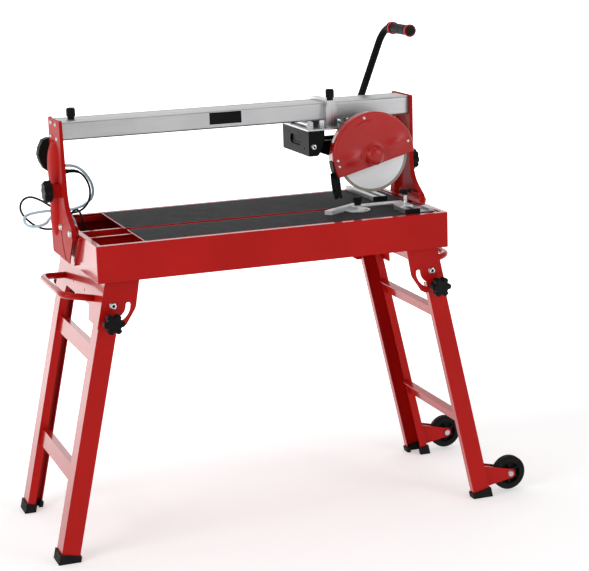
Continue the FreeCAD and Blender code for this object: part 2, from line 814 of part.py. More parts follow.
def stand():
    others = set(PARTS)
    bracket = leg_bracket()
    PARTS["left_leg_bracket"] = bracket
    PARTS["right_leg_bracket"] = mirror_x(bracket)
    handle = carry_handle()
    PARTS["carry_handles"] = Part.makeCompound([handle, mirror_x(handle)])
    bolts = front_and_back(pivot_bolt())
    PARTS["leg_pivot_bolts"] = Part.makeCompound(bolts + [mirror_x(bolt) for bolt in bolts])
    frame = leg_frame()
    shoes = feet(frame)
    PARTS["left_leg_frame"] = frame
    PARTS["left_feet"] = Part.makeCompound(shoes)
    forks = front_and_back(fork())
    PARTS["right_leg_frame"] = mirror_x(joined([frame] + forks))
    PARTS["right_feet"] = Part.makeCompound([mirror_x(shoe) for shoe in shoes])
    star = star_knob()
    PARTS["left_front_star_knob"] = star
    PARTS["left_rear_star_knob"] = mirror_y(star)
    PARTS["right_front_star_knob"] = mirror_x(star)
    PARTS["right_rear_star_knob"] = mirror_x(mirror_y(star))
    PARTS["wheel_bolts"] = Part.makeCompound([mirror_x(bolt) for bolt in front_and_back(wheel_bolt())])
    for name, shape in (("tyre", tyre()), ("hub", wheel_hub())):
        PARTS["front_wheel_" + name] = mirror_x(shape)
        PARTS["rear_wheel_" + name] = mirror_x(mirror_y(shape))
    for name in set(PARTS) - others:
        PARTS[name].translate(vec(0, STAND_Y, 0))


# --------------------------------------------------------------- tilt fittings


def tilt_stop():
    """Left lug plate with its slanted stop strip."""
    outer = -END_X - LUG_T
    plate = [
        (TILT_Y - 24.0, TABLE_Z + 20.0, 12.0),
        (STUD_Y + 20.0, TABLE_Z + 20.0, 12.0),
        (STUD_Y + 20.0, TABLE_Z - 70.0, 12.0),
        (TILT_Y + 20.0, TABLE_Z - 70.0, 12.0),
    ]
    lug = prism("x", plate, (outer, -END_X))
    strip = [
        (TILT_Y - 50.0, TABLE_Z - 7.0, 4.0),
        (TILT_Y - 41.0, TABLE_Z - 5.0, 4.0),
        (TILT_Y + 32.5, TOWER_LOW, 3.0),
        (TILT_Y + 25.0, TOWER_LOW - 6.0, 3.0),
    ]
    bar = prism("x", strip, (-END_X - 8.0, -END_X))
    return [lug.cut(bar), bar]


def tilt_bolt():
    """Left pivot stud with its spacer and head, and the clamp stud."""
    face = -END_X - LUG_T
    web_in = -WEB_X
    web_out = -TOWER_X
    pivot = (TILT_Y, TABLE_Z)
    stud = (STUD_Y, TABLE_Z)
    solids = []
    for centre, radius in ((pivot, TILT_BOLT_R), (stud, TILT_STUD_R)):
        shank = cylinder("x", centre, (web_out - GAP, face), radius)
        spacer = cylinder("x", centre, (web_in + GAP, face), radius + 3.0)
        head = turned("x", centre, [
            (web_out - 6.0, 0), (web_out - 6.0, radius + 2.0, 1.5), (web_out - GAP, radius + 5.0),
            (web_out - GAP, 0),
        ])
        solids.append(joined([shank, spacer, head]))
    return solids


def tilt_fittings():
    stops = tilt_stop()
    bolts = tilt_bolt()
    PARTS["tilt_stops"] = Part.makeCompound(stops + [mirror_x(piece) for piece in stops])
    PARTS["tilt_bolts"] = Part.makeCompound(bolts + [mirror_x(piece) for piece in bolts])


# ---------------------------------------------------------------------- bridge
def tower_outline():
    return [
        (TOWER_Y[0], TOWER_TOP, 4.0),
        (TOWER_Y[0], 881.0, 80.0),
        (FLARE_Y + 2.0, FLARE_Z, 12.0),
        (FLARE_Y, TABLE_Z - 14.0, 8.0),
        (-1.5, TOWER_LOW, 4.0),
        (187.0, TOWER_LOW, 8.0),
        (190.0, 788.5, 60.0),
        (185.0, 817.5, 60.0),
        (162.0, 878.0, 60.0),
        (TOWER_Y[1], TOWER_TOP, 4.0),
    ]


def rib_section(y, out, z, web_x, start_x):
    """Closed arc that stands `out` proud of web_x, drawn at one height."""
    middle = (y[0] + y[1]) / 2
    arc = Part.Arc(vec(start_x, y[0], z), vec(web_x - out, middle, z), vec(start_x, y[1], z)).toShape()
    chord = Part.LineSegment(vec(start_x, y[1], z), vec(start_x, y[0], z)).toShape()
    return Part.Wire([arc, chord])


def tower_rib(inset, web_x, start_x):
    """Pressed swell: broad at the rail and running down to a point."""
    stations = (
        (1042.0, (73.5, 127.5), 0.25),
        (1017.0, (53.5, 147.0), 1.0),
        (917.0, (73.5, 152.5), 1.0),
        (828.0, (94.0, 158.0), 0.9),
        (788.0, (128.0, 142.0), 0.25),
    )
    wires = []
    for z, y, share in stations:
        wires.append(rib_section((y[0] + inset, y[1] - inset), RIB_OUT * share, z, web_x, start_x))
    return Part.makeLoft(wires, True, False)


def tower(pocket):
    """Left tower: web, folded edges, pressed swell, pivot hole and slot.

    pocket is the centre of a knob that sits in a hollow of the swell.
    """
    outline = tower_outline()
    web = prism("x", outline, (-TOWER_X, -WEB_X))
    face = Part.Face(rounded_wire("x", outline, -TOWER_X))
    inner = face.makeOffset2D(-TOWER_SHEET).extrude(vec(TOWER_SHEET + FLANGE_LOW, 0, 0))
    rim = face.extrude(vec(FLANGE_LOW, 0, 0)).cut(inner)
    flange_area = [
        (-TOWER_X, FLARE_Z - 38.0),
        (FLANGE_LOW - TOWER_X, FLARE_Z - 38.0),
        (FLANGE_LOW - TOWER_X, FLARE_Z + 40.0),
        (FLANGE_TOP - TOWER_X, TOWER_TOP),
        (-TOWER_X, TOWER_TOP),
    ]
    front = rim.common(prism("y", flange_area, (FLARE_Y - 5.0, TOWER_Y[0] + 20.0)))
    back_area = box(
        (-TOWER_X, FLANGE_TOP - TOWER_X), (TOWER_Y[1] - 14.0, TOWER_Y[1] + 16.0), (881.0, TOWER_TOP),
    )
    back = rim.common(back_area)
    swell = tower_rib(0.0, -TOWER_X, -WEB_X - 1.0)
    hollow = tower_rib(TOWER_SHEET, TOWER_SHEET - TOWER_X, -WEB_X + 0.5)
    if pocket:
        reach = (-TOWER_X - RIB_OUT - 1.0, -WEB_X + 1.0)
        swell = swell.cut(cylinder("x", pocket, reach, LOBE_R + 2.0))
        hollow = hollow.cut(cylinder("x", pocket, reach, LOBE_R + 2.0 + TOWER_SHEET))
    solid = joined([web, front, back, swell]).cut(hollow)
    cuts = [
        cylinder("x", (TILT_Y, TABLE_Z), (-TOWER_X, -WEB_X), TILT_BOLT_R + RUN),
        arc_slot(
            "x", (TILT_Y, TABLE_Z), TILT_SLOT_R, 2 * TILT_STUD_R + 0.6, -TILT_TRAVEL - 3.0, 0.5,
            (-TOWER_X, -WEB_X),
        ),
    ]
    return without(solid, cuts)


def knob_bracket():
    """Small box that carries the left clamp knob."""
    return box((-TOWER_X - KNOB_OUT, -TOWER_X), KNOB_BOX_Y, KNOB_BOX_Z)


def tower_knob(centre, base):
    """Lobed clamp knob on a short shank, drawn on the left side."""
    body = lobed("x", centre, (base - LOBE_T + 4.0, base - 2.0), LOBE_R, 8, 5.0)
    cap = lobed("x", centre, (base - LOBE_T, base - LOBE_T + 4.0), LOBE_R - 3.0, 8, 4.5)
    neck = cylinder("x", centre, (base - 2.0, base), 14.0)
    return joined([body, cap, neck])


def rail():
    """Hollow rail with two shallow grooves along its top."""
    def section(inset, corner):
        y0 = RAIL_Y + inset
        y1 = RAIL_Y + RAIL_W - inset
        z0 = RAIL_Z + inset
        z1 = RAIL_TOP - inset
        return [(y0, z0, corner), (y1, z0, corner), (y1, z1, corner), (y0, z1, corner)]

    span = (-WEB_X, WEB_X)
    solid = prism("x", section(0, RAIL_CORNER), span)
    solid = solid.cut(prism("x", section(RAIL_WALL, RAIL_CORNER - RAIL_WALL + 1.0), span))
    grooves = [
        box(span, (y - 2.0, y + 2.0), (RAIL_TOP - 1.2, RAIL_TOP))
        for y in (RAIL_Y + 25.0, RAIL_Y + RAIL_W - 25.0)
    ]
    return without(solid, grooves)


def tower_screws():
    """Round heads on the outside of both towers, into the rail's ends."""
    solids = []
    for y, z in TOWER_SCREWS:
        base = -TOWER_X
        tip = base - TOWER_HEAD_H
        head = turned("x", (y, z), [(tip, 0), (tip, 4.0, 1.2), (base, TOWER_HEAD_R), (base, 0)])
        solids += [head, mirror_x(head)]
    return Part.makeCompound(solids)


def switch_box():
    """Faceted housing behind the left tower, with a proud rim."""
    outline = [*BOX_FACETS, (GLAND_X, 949.5, 4.0), (GLAND_X, 1043.5, 4.0)]
    body = prism("y", outline, (BOX_FACE_Y, BOX_BACK_Y))
    middle = (-493.0, 997.5)
    shrink = [
        (middle[0] + (x - middle[0]) * BOX_RIM, middle[1] + (z - middle[1]) * BOX_RIM)
        for x, z, *rest in outline
    ]
    recess = prism("y", shrink, (BOX_BACK_Y - BOX_RECESS, BOX_BACK_Y))
    grooves = []
    for z in (982.5, 1000.5, 1018.5):
        grooves.append(box((-530.0, -515.0), (BOX_FACE_Y + 8.0, BOX_FACE_Y + 14.0), (z - 2.0, z + 2.0)))
    return without(body, [recess] + grooves)


def cable_gland():
    """Gland for the lead and a nipple for the hose, on the box's right side."""
    lead = (LEAD_GLAND_Y, GLAND_Z)
    nut = lobed("x", lead, (GLAND_X, GLAND_X + 10.0), 8.0, 6, 1.0)
    taper = turned(
        "x", lead,
        [(GLAND_X + 10.0, 0), (GLAND_X + 10.0, 6.5), (GLAND_X + GLAND_L, 4.5), (GLAND_X + GLAND_L, 0)],
    )
    hose = (LEAD_GLAND_Y + 8.0, HOSE_NIPPLE_Z)
    nipple = cylinder("x", hose, (GLAND_X, GLAND_X + NIPPLE_L), HOSE_R + 1.5)
    return Part.makeCompound([joined([nut, taper]), nipple])


def knurled(axis, centre, span, radius):
    """Stop knob: slim neck below, ribbed grip above."""
    low, high = span
    neck = cylinder(axis, centre, (low, low + 8.0), radius - 3.0)
    grip = lobed(axis, centre, (low + 8.0, high - 2.5), radius, 10, 1.4)
    cap = cylinder(axis, centre, (high - 2.5, high), radius - 2.0)
    return joined([neck, grip, cap])


def bridge():
    PARTS["right_tower"] = mirror_x(tower(RIGHT_KNOB))
    PARTS["left_tower"] = joined([tower(None), knob_bracket()])
    PARTS["rail"] = rail()
    PARTS["rail_label"] = box((-87.0, 2.0), (RAIL_Y - LABEL_T, RAIL_Y), (RAIL_Z + 12.0, RAIL_TOP - 5.0))
    PARTS["tower_screws"] = tower_screws()
    PARTS["left_tower_knob"] = tower_knob(LEFT_KNOB, -TOWER_X - KNOB_OUT)
    PARTS["right_tower_knob"] = mirror_x(tower_knob(RIGHT_KNOB, -TOWER_X))
    PARTS["rail_stop_knob"] = knurled("z", (-449.0, 83.0), (RAIL_TOP, RAIL_TOP + 30.0), 12.0)
    PARTS["switch_box"] = switch_box()
    PARTS["cable_gland"] = cable_gland()


# -------------------------------------------------------------------- carriage
def carriage_saddle():
    """Plate under the rail, strap round it, and ears for the rollers."""
    plate = box(CARRIAGE_X, CARRIAGE_Y, (CARRIAGE_LOW, CARRIAGE_TOP))
    bridge_z = (RAIL_TOP + STRAP_GAP, RAIL_TOP + STRAP_GAP + STRAP_TOP)
    shoulder = RAIL_TOP - 12.0
    front = [
        (STRAP_X[0], CARRIAGE_TOP), (STRAP_X[1], CARRIAGE_TOP), (STRAP_X[1], shoulder, 3.0),
        (STRAP_NECK[1], shoulder + 6.0), (STRAP_NECK[1], bridge_z[1]), (STRAP_NECK[0], bridge_z[1]),
        (STRAP_NECK[0], shoulder + 6.0), (STRAP_X[0], shoulder, 3.0),
    ]
    rail_front = RAIL_Y - STRAP_GAP
    rail_back = RAIL_Y + RAIL_W + STRAP_GAP
    pieces = [
        plate,
        prism("y", front, (STRAP_FRONT, rail_front)),
        box(STRAP_NECK, (rail_front - 1.0, rail_back + 1.0), bridge_z),
        box(STRAP_NECK, (rail_back, rail_back + 10.0), (CARRIAGE_TOP, bridge_z[1])),
    ]
    mid_z = CARRIAGE_TOP + CARRIAGE_GAP / 2
    for x in ROLLER_X:
        for ear_y in (STRAP_FRONT + 2.0, rail_back + 4.0):
            ear = box((x - 9.0, x + 9.0), (ear_y, ear_y + 3.0), (CARRIAGE_TOP, mid_z + 8.0))
            pieces.append(ear.cut(cylinder("y", (x, mid_z), (ear_y, ear_y + 3.0), ROLLER_PIN_R + RUN)))
    return joined(pieces)


def roller(x):
    """Chrome roller with a thin pin through both ears."""
    mid_z = CARRIAGE_TOP + CARRIAGE_GAP / 2
    ear_front = STRAP_FRONT + 2.0
    ear_back = RAIL_Y + RAIL_W + STRAP_GAP + 4.0
    barrel = cylinder("y", (x, mid_z), (ear_front + 3.0 + GAP, ear_back - GAP), ROLLER_R)
    pin = cylinder("y", (x, mid_z), (ear_front - 2.0, ear_back + 5.0), ROLLER_PIN_R)
    return joined([barrel, pin])


def head_bracket():
    """Open box under the carriage: side with a window, two cheeks."""
    x0 = CARRIAGE_X[0] + 2.0
    z = (CARRIAGE_LOW - HEAD_BOX_H, CARRIAGE_LOW)
    side = box((x0, x0 + BRACKET_T), CARRIAGE_Y, z)
    window = [
        (46.0, z[0] + 22.0, 12.0), (128.0, z[0] + 22.0, 12.0), (128.0, z[1] - 20.0, 12.0),
        (46.0, z[1] - 20.0, 12.0),
    ]
    hole = cylinder("x", (20.0, z[0] + 18.0), (x0, x0 + BRACKET_T), 3.0)
    side = without(side, [prism("x", window, (x0, x0 + BRACKET_T)), hole])
    cheek = [
        (x0, z[1]), (x0 + HEAD_CHEEK, z[1]), (x0 + HEAD_CHEEK, z[1] - 26.0, 8.0),
        (x0 + 28.0, z[0], 10.0), (x0, z[0], 3.0),
    ]
    pieces = [side]
    for y in (CARRIAGE_Y[0], CARRIAGE_Y[1] - BRACKET_T):
        span = (y, y + BRACKET_T)
        pieces.append(prism("y", cheek, span).cut(cylinder("y", (PLUNGE_X, PLUNGE_Z), span, PLUNGE_R)))
    return joined(pieces)


def plunge_bolt():
    centre = (PLUNGE_X, PLUNGE_Z)
    front = CARRIAGE_Y[0]
    back = CARRIAGE_Y[1]
    head = turned("y", centre, [(front - 4.5, 0), (front - 4.5, 6.0, 1.5), (front, 8.5), (front, 0)])
    shank = cylinder("y", centre, (front, back), PLUNGE_R)
    nut = cylinder("y", centre, (back, back + 5.0), 8.0)
    return joined([head, shank, nut])


def carriage():
    PARTS["carriage_saddle"] = carriage_saddle()
    PARTS["head_bracket"] = head_bracket()
    PARTS["plunge_bolt"] = plunge_bolt()
    PARTS["roller_left"] = roller(ROLLER_X[0])
    PARTS["roller_right"] = roller(ROLLER_X[1])
    knob_x = (STRAP_NECK[0] + STRAP_NECK[1]) / 2
    knob_z = RAIL_TOP + STRAP_GAP + STRAP_TOP
    knob_y = STRAP_FRONT + STRAP_T / 2
    PARTS["carriage_knob"] = knurled("z", (knob_x, knob_y), (knob_z, knob_z + 30.0), 11.8)


# ------------------------------------------------------------------------ head
def motor():
    """Motor can with a ribbed body, end bell and the arm to the plunge bolt."""
    axis = (BLADE_X, BLADE_Z)
    face = GUARD_Y[1]
    end = face + MOTOR_L
    rib_low = face + 40.0
    outline = [(face, 0), (face, 34.0), (face + 8.0, MOTOR_R - 8.0, 4.0), (face + 26.0, MOTOR_R, 6.0)]
    outline += [(end - 30.0, MOTOR_R, 4.0), (end, MOTOR_R - 14.0, 8.0), (end, 0)]
    can = turned("y", axis, outline)
    grooves = []
    for index in range(5):
        y = rib_low + index * 16.0
        grooves.append(ring("y", axis, (y, y + 7.0), MOTOR_R + 1.0, MOTOR_R - 4.0))
    can = without(can, grooves)
    hub_span = (CARRIAGE_Y[0] + BRACKET_T + 0.5, CARRIAGE_Y[1] - BRACKET_T - 0.5)
    hub = cylinder("y", (PLUNGE_X, PLUNGE_Z), hub_span, HUB_R)
    pieces = [can, hub]
    for y in (face + 40.0, face + 120.0):
        arm = [
            (PLUNGE_X, PLUNGE_Z + HUB_R - 1.0), (BLADE_X - 20.0, BLADE_Z + 40.0),
            (BLADE_X - 20.0, BLADE_Z - 34.0), (PLUNGE_X, PLUNGE_Z - HUB_R + 1.0),
        ]
        pieces.append(prism("y", arm, (y, y + 12.0)))
    solid = joined(pieces)
    bores = [
        cylinder("y", (PLUNGE_X, PLUNGE_Z), hub_span, PLUNGE_R + RUN),
        cylinder("y", axis, (face, face + 22.0), ARBOR_R + RUN),
    ]
    return without(solid, bores)


def guard_plan(radius, drop, y):
    """Round plan cut off by a chord below the axis, carried through y."""
    whole = cylinder("y", (BLADE_X, BLADE_Z), y, radius)
    return whole.cut(
        box((BLADE_X - 2 * radius, BLADE_X + 2 * radius), y, (BLADE_Z - 2 * radius, BLADE_Z - drop)),
    )


def front_edges(shape, y):
    """Edges that lie in the plane y."""
    chosen = []
    for edge in shape.Edges:
        limits = edge.BoundBox
        if abs(limits.YMin - y) < 1e-4 and abs(limits.YMax - y) < 1e-4:
            chosen.append(edge)
    return chosen


def pressed_swell(side, inset):
    """Low rounded ridge beside the dome, a flattened ball on the cover."""
    middle = vec(BLADE_X + side * 68.0, GUARD_Y[0] + 34.0 + inset, BLADE_Z + 4.0)
    ball = Part.makeSphere(40.0, middle)
    return ball


def guard_dome(inset):
    """Rounded boss over the spindle nut, rising from a flat collar."""
    face = GUARD_Y[0]
    axis = (BLADE_X, BLADE_Z)
    top = face - DOME_OUT + inset
    radius = DOME_R - inset
    outline = [
        (face + 10.0, 0), (face + 10.0, radius), (face - 6.0, radius, 3.0),
        (top + 2.5, radius - 9.0, 12.0), (top, 6.0, 10.0), (top, 0),
    ]
    return turned("y", axis, outline)


def guard_cover():
    """Pressed cover: deep rim, rolled edge, collar, dome and two swells."""
    back, face = GUARD_Y[1] - GUARD_T, GUARD_Y[0]
    axis = (BLADE_X, BLADE_Z)
    outer = guard_plan(GUARD_R, GUARD_DROP, (face, back))
    round_edges = [edge for edge in front_edges(outer, face) if edge.BoundBox.ZLength > 1.0]
    outer = outer.makeFillet(GUARD_EDGE_R, round_edges)
    bump = cylinder("y", axis, (face, face + GUARD_T), BUMP_R)
    collar = turned(
        "y", axis,
        [(face + 1.0, 0), (face + 1.0, COLLAR_R + 2.0), (face - 2.0, COLLAR_R - 1.0), (face - 2.0, 0)],
    )
    inner = guard_plan(GUARD_R - GUARD_T, GUARD_DROP + 50.0, (face + GUARD_T, back))
    inner_round = [edge for edge in front_edges(inner, face + GUARD_T) if edge.BoundBox.ZLength > 1.0]
    inner = inner.makeFillet(GUARD_EDGE_R - GUARD_T, inner_round)
    shell = joined([outer, pressed_swell(1, 0), pressed_swell(-1, 0)])
    limit = guard_plan(GUARD_R, GUARD_DROP, (face - 10.0, back))
    shell = shell.common(limit)
    shell = joined([shell.cut(inner), bump, collar, guard_dome(0.0)])
    hollow = cylinder("y", axis, (face + GUARD_T, back), BUMP_R - 2.0)
    swell = arc_slot("y", axis, 95.0, 7.0, 76.0, 106.0, (face - 1.6, face + 1.0))
    shell = without(shell, [guard_dome(GUARD_T), hollow])
    return turned_about_blade(joined([shell, swell]))


def guard_back():
    """Flat back plate with a hole for the spindle."""
    span = (GUARD_Y[1] - GUARD_T, GUARD_Y[1])
    plate = guard_plan(GUARD_R, GUARD_DROP, span)
    hole = cylinder("y", (BLADE_X, BLADE_Z), span, ARBOR_R + 8.0)
    return turned_about_blade(plate.cut(hole))


def guard_screws():
    """Chrome heads on the cover's face."""
    solids = []
    face = GUARD_Y[0]
    for inside, degrees in GUARD_SCREWS:
        distance = GUARD_R - inside
        angle = math.radians(degrees)
        centre = (BLADE_X + distance * math.cos(angle), BLADE_Z + distance * math.sin(angle))
        head = turned("y", centre, [(face - 3.0, 0), (face - 3.0, 3.0, 1.0), (face, 4.8), (face, 0)])
        solids.append(turned_about_blade(head))
    return Part.makeCompound(solids)


def handle_tube():
    """Tube from the motor's back, up past the rail and forward to the grip."""
    end = GUARD_Y[1] + MOTOR_L
    corner = vec(TUBE_CORNER[0], TUBE_Y, TUBE_CORNER[1])
    tip = vec(TUBE_CORNER[0], TUBE_END[0], TUBE_END[1])
    foot_point = vec(BLADE_X + 6.0, TUBE_Y, BLADE_Z + 15.0)
    solid = bent_tube([foot_point, corner, tip], TUBE_R, TUBE_BEND)
    shoe = cylinder("y", (foot_point.x, foot_point.z), (end, TUBE_Y + TUBE_R + 1.0), TUBE_R + 5.0)
    return joined([solid, shoe])


def handle_grip():
    """Sleeve that flares to the rear, seats for the two rings, domed end."""
    x, z = TUBE_CORNER
    tip = TUBE_END[0]
    rear = tip + GRIP_L
    outline = [
        (tip - 6.0, 0), (tip - 6.0, GRIP_R - 5.0, 2.5), (tip, GRIP_R - 1.0, 2.0),
    ]
    for seat in RING_SEATS:
        seat_r = GRIP_R - 1.0
        outline += [
            (tip + seat, GRIP_R), (tip + seat, seat_r), (tip + seat + RING_T, seat_r),
            (tip + seat + RING_T, GRIP_R),
        ]
    outline += [(rear - 12.0, GRIP_R + 0.5, 8.0), (rear, GRIP_R + 3.0, 1.5), (rear, 0)]
    sleeve = turned("y", (x, z), outline)
    return sleeve.cut(cylinder("y", (x, z), (tip, rear), TUBE_R))


def grip_rings():
    x, z = TUBE_CORNER
    solids = []
    for seat in RING_SEATS:
        start = TUBE_END[0] + seat
        solids.append(ring("y", (x, z), (start, start + RING_T), RING_R, GRIP_R - 1.0))
    return Part.makeCompound(solids)


def flap_hanger():
    """Clip on the guard's rim that holds the rubber flap."""
    y = (SLOT_Y - 11.0, SLOT_Y + 15.0)
    outer = cylinder("y", (BLADE_X, BLADE_Z), y, GUARD_R + 3.0)
    strip = outer.cut(cylinder("y", (BLADE_X, BLADE_Z), y, GUARD_R + RUN))
    low, high = BLADE_Z - 25.0, BLADE_Z + 22.0
    clip = strip.common(box((BLADE_X - GUARD_R - 5.0, BLADE_X), y, (low, high)))
    return turned_about_blade(clip)


def splash_flap():
    """Rubber flap hanging in front of the blade's leading edge."""
    top = (FLAP_TOP_X, BLADE_Z - 41.0)
    low = (BLADE_X - 90.0, top[1] - FLAP_H)
    half = FLAP_T / 2
    outline = [
        (top[0] - half, top[1]), (top[0] + half, top[1]), (low[0] + half, low[1] + 8.0),
        (low[0] + 2.0, low[1], 2.0), (low[0] - half, low[1], 3.0), (low[0] - half - 1.0, low[1] + 10.0, 6.0),
    ]
    front = SLOT_Y - FLAP_W / 2 + 4.0
    flap = prism("y", outline, (front, front + FLAP_W))
    corner = [(front, low[1]), (front + FLAP_CORNER[0], low[1]), (front, low[1] + FLAP_CORNER[1])]
    return flap.cut(prism("x", corner, (top[0] - 2 * FLAP_T, low[0] + 2 * FLAP_T)))


def blade():
    """Continuous rim blade: thin core and a thicker diamond rim."""
    axis = (BLADE_X, BLADE_Z)
    half = BLADE_T / 2
    core = half - 0.3
    root = BLADE_R - BLADE_RIM
    outline = [
        (SLOT_Y - core, ARBOR_R + 2.0), (SLOT_Y - core, root), (SLOT_Y - half, root + 0.6), (
            SLOT_Y - half, BLADE_R,
        ),
        (SLOT_Y + half, BLADE_R), (SLOT_Y + half, root + 0.6), (SLOT_Y + core, root), (
            SLOT_Y + core, ARBOR_R + 2.0,
        ),
    ]
    return turned("y", axis, outline)


def blade_flanges():
    """Arbor, the two clamping flanges and the nut."""
    axis = (BLADE_X, BLADE_Z)
    core = BLADE_T / 2 - 0.3
    back = SLOT_Y + core
    front = SLOT_Y - core
    arbor_end = GUARD_Y[1] + 20.0
    outline = [
        (arbor_end, 0), (arbor_end, ARBOR_R), (back + FLANGE_T, ARBOR_R),
        (back + FLANGE_T, FLANGE_R - FLANGE_T), (back, FLANGE_R), (back, ARBOR_R + 2.0),
        (front, ARBOR_R + 2.0), (front, FLANGE_R), (front - FLANGE_T, FLANGE_R - FLANGE_T),
        (front - FLANGE_T, 0),
    ]
    shaft = turned("y", axis, outline)
    nut = lobed("y", axis, (front - FLANGE_T - ARBOR_NUT_H, front - FLANGE_T), ARBOR_NUT_R, 6, 1.2)
    return joined([shaft, nut])


def head():
    PARTS["motor"] = motor()
    PARTS["guard_cover"] = guard_cover()
    PARTS["guard_back"] = guard_back()
    PARTS["guard_screws"] = guard_screws()
    PARTS["handle_tube"] = handle_tube()
    PARTS["handle_grip"] = handle_grip()
    PARTS["grip_rings"] = grip_rings()
    PARTS["flap_hanger"] = flap_hanger()
    PARTS["splash_flap"] = without(
        splash_flap(), [PARTS["flap_hanger"], PARTS["guard_back"], PARTS["guard_cover"]]
    )
    PARTS["blade"] = blade()
    PARTS["blade_flanges"] = blade_flanges()


# ----------------------------------------------------------------------- fence
def extrusion(y):
    """Low aluminium rail with a T groove along its top."""
    x0 = FENCE_X - FENCE_W / 2
    x1 = FENCE_X + FENCE_W / 2
    g = FENCE_GROOVE / 2
    top = MAT_TOP + FENCE_H
    outline = [
        (x0, MAT_TOP), (x1, MAT_TOP), (x1, top, 1.0), (FENCE_X + g, top), (FENCE_X + g, top - 2.5),
        (FENCE_X + g + 4.0, top - 2.5), (FENCE_X + g + 4.0, top - 8.0), (FENCE_X - g - 4.0, top - 8.0),
        (FENCE_X - g - 4.0, top - 2.5), (FENCE_X - g, top - 2.5), (FENCE_X - g, top), (x0, top, 1.0),
    ]
    return prism("y", outline, y)


def fence_cap(y):
    x = (FENCE_X - FENCE_W / 2, FENCE_X + FENCE_W / 2)
    return box(x, y, (MAT_TOP, MAT_TOP + FENCE_H))


def guide_arm():
    """Slotted arm across the fence, under the wing knob."""
    z = MAT_TOP + FENCE_H
    plate = box((POST_X - 14.0, FENCE_X + 16.0), (POST_Y - 14.0, POST_Y + 8.0), (z, z + ARM_T))
    slot = box((POST_X + 24.0, FENCE_X - 36.0), (POST_Y - 6.0, POST_Y), (z, z + ARM_T))
    foot_plate = box((FENCE_X - 18.0, FENCE_X + 18.0), (FENCE_FRONT[0] + 40.0, POST_Y - 14.0), (z, z + ARM_T))
    return joined([plate.cut(slot), foot_plate])


def wing_knob():
    z = MAT_TOP + FENCE_H + ARM_T
    centre = (FENCE_X + 8.0, POST_Y - 42.0)
    post = cylinder("z", centre, (z, z + 24.0), 4.0)
    hub = cylinder("z", centre, (z + 24.0, z + 38.0), 8.0)
    wing = box((centre[0] - 17.0, centre[0] + 17.0), (centre[1] - 3.0, centre[1] + 3.0), (z + 28.0, z + 38.0))
    return joined([post, hub, wing])


def angle_stop():
    """Swinging stop bar on the arm's post, with a slanted end."""
    z = MAT_TOP + GAP
    bar = [
        (POST_X - 100.0, POST_Y - 15.0), (POST_X - 84.0, POST_Y - 28.0), (POST_X + 14.0, POST_Y + 34.0),
        (POST_X + 9.0, POST_Y + 53.0),
    ]
    solid = prism("z", bar, (z, z + 12.0 - 2 * GAP))
    return solid


def corner_clamp():
    """Thin corner plate beside the front rail with its raised block."""
    x0 = FENCE_X + FENCE_W / 2 + GAP
    outline = [
        (x0, -206.0), (447.0, -206.0, 3.0), (447.0, -154.0, 3.0), (x0 + 12.0, -92.0, 3.0), (x0, -92.0),
    ]
    plate = prism("z", outline, (MAT_TOP, MAT_TOP + 3.0))
    block = prism(
        "z", [(433.0, -211.0), (447.0, -211.0), (447.0, -155.0), (433.0, -155.0)],
        (MAT_TOP + 3.0, MAT_TOP + 9.0),
    )
    return joined([plate, block])


def fence():
    PARTS["corner_clamp"] = corner_clamp()
    rear = extrusion((FENCE_REAR[0] + CAP_T, FENCE_REAR[1]))
    front = extrusion((FENCE_FRONT[0] + CAP_T, FENCE_FRONT[1]))
    PARTS["fence_rails"] = Part.makeCompound([rear, front])
    caps = [fence_cap((end, end + CAP_T)) for end in (FENCE_REAR[0], FENCE_FRONT[0])]
    PARTS["fence_caps"] = Part.makeCompound(caps)
    PARTS["guide_arm"] = guide_arm()
    PARTS["wing_knob"] = wing_knob()
    PARTS["angle_stop"] = angle_stop()
    top = MAT_TOP + FENCE_H + ARM_T
    PARTS["stop_knob"] = knurled("z", (POST_X, POST_Y), (top, top + 22.0), POST_R)


# ------------------------------------------------------- pump, lead and hose
def pump():
    """Plain pump block on the tank's floor with its two short spigots."""
    floor = TRAY_LOW + SHEET
    x = (-455.0, -390.0)
    y = (146.0, 204.0)
    top = floor + PUMP_H
    block = prism(
        "z", [(x[0], y[0], 8.0), (x[1], y[0], 8.0), (x[1], y[1], 8.0), (x[0], y[1], 8.0)], (floor, top),
    )
    upper = [edge for edge in block.Edges if edge.BoundBox.ZMin > top - 1e-6]
    block = block.makeFillet(4.0, upper)
    spigots = [
        cylinder("z", PUMP_HOSE, (top - 1.0, top + SPIGOT_H), HOSE_R + 1.5),
        cylinder("z", PUMP_LEAD, (top - 1.0, top + SPIGOT_H), LEAD_R + 2.0),
    ]
    return joined([block] + spigots)


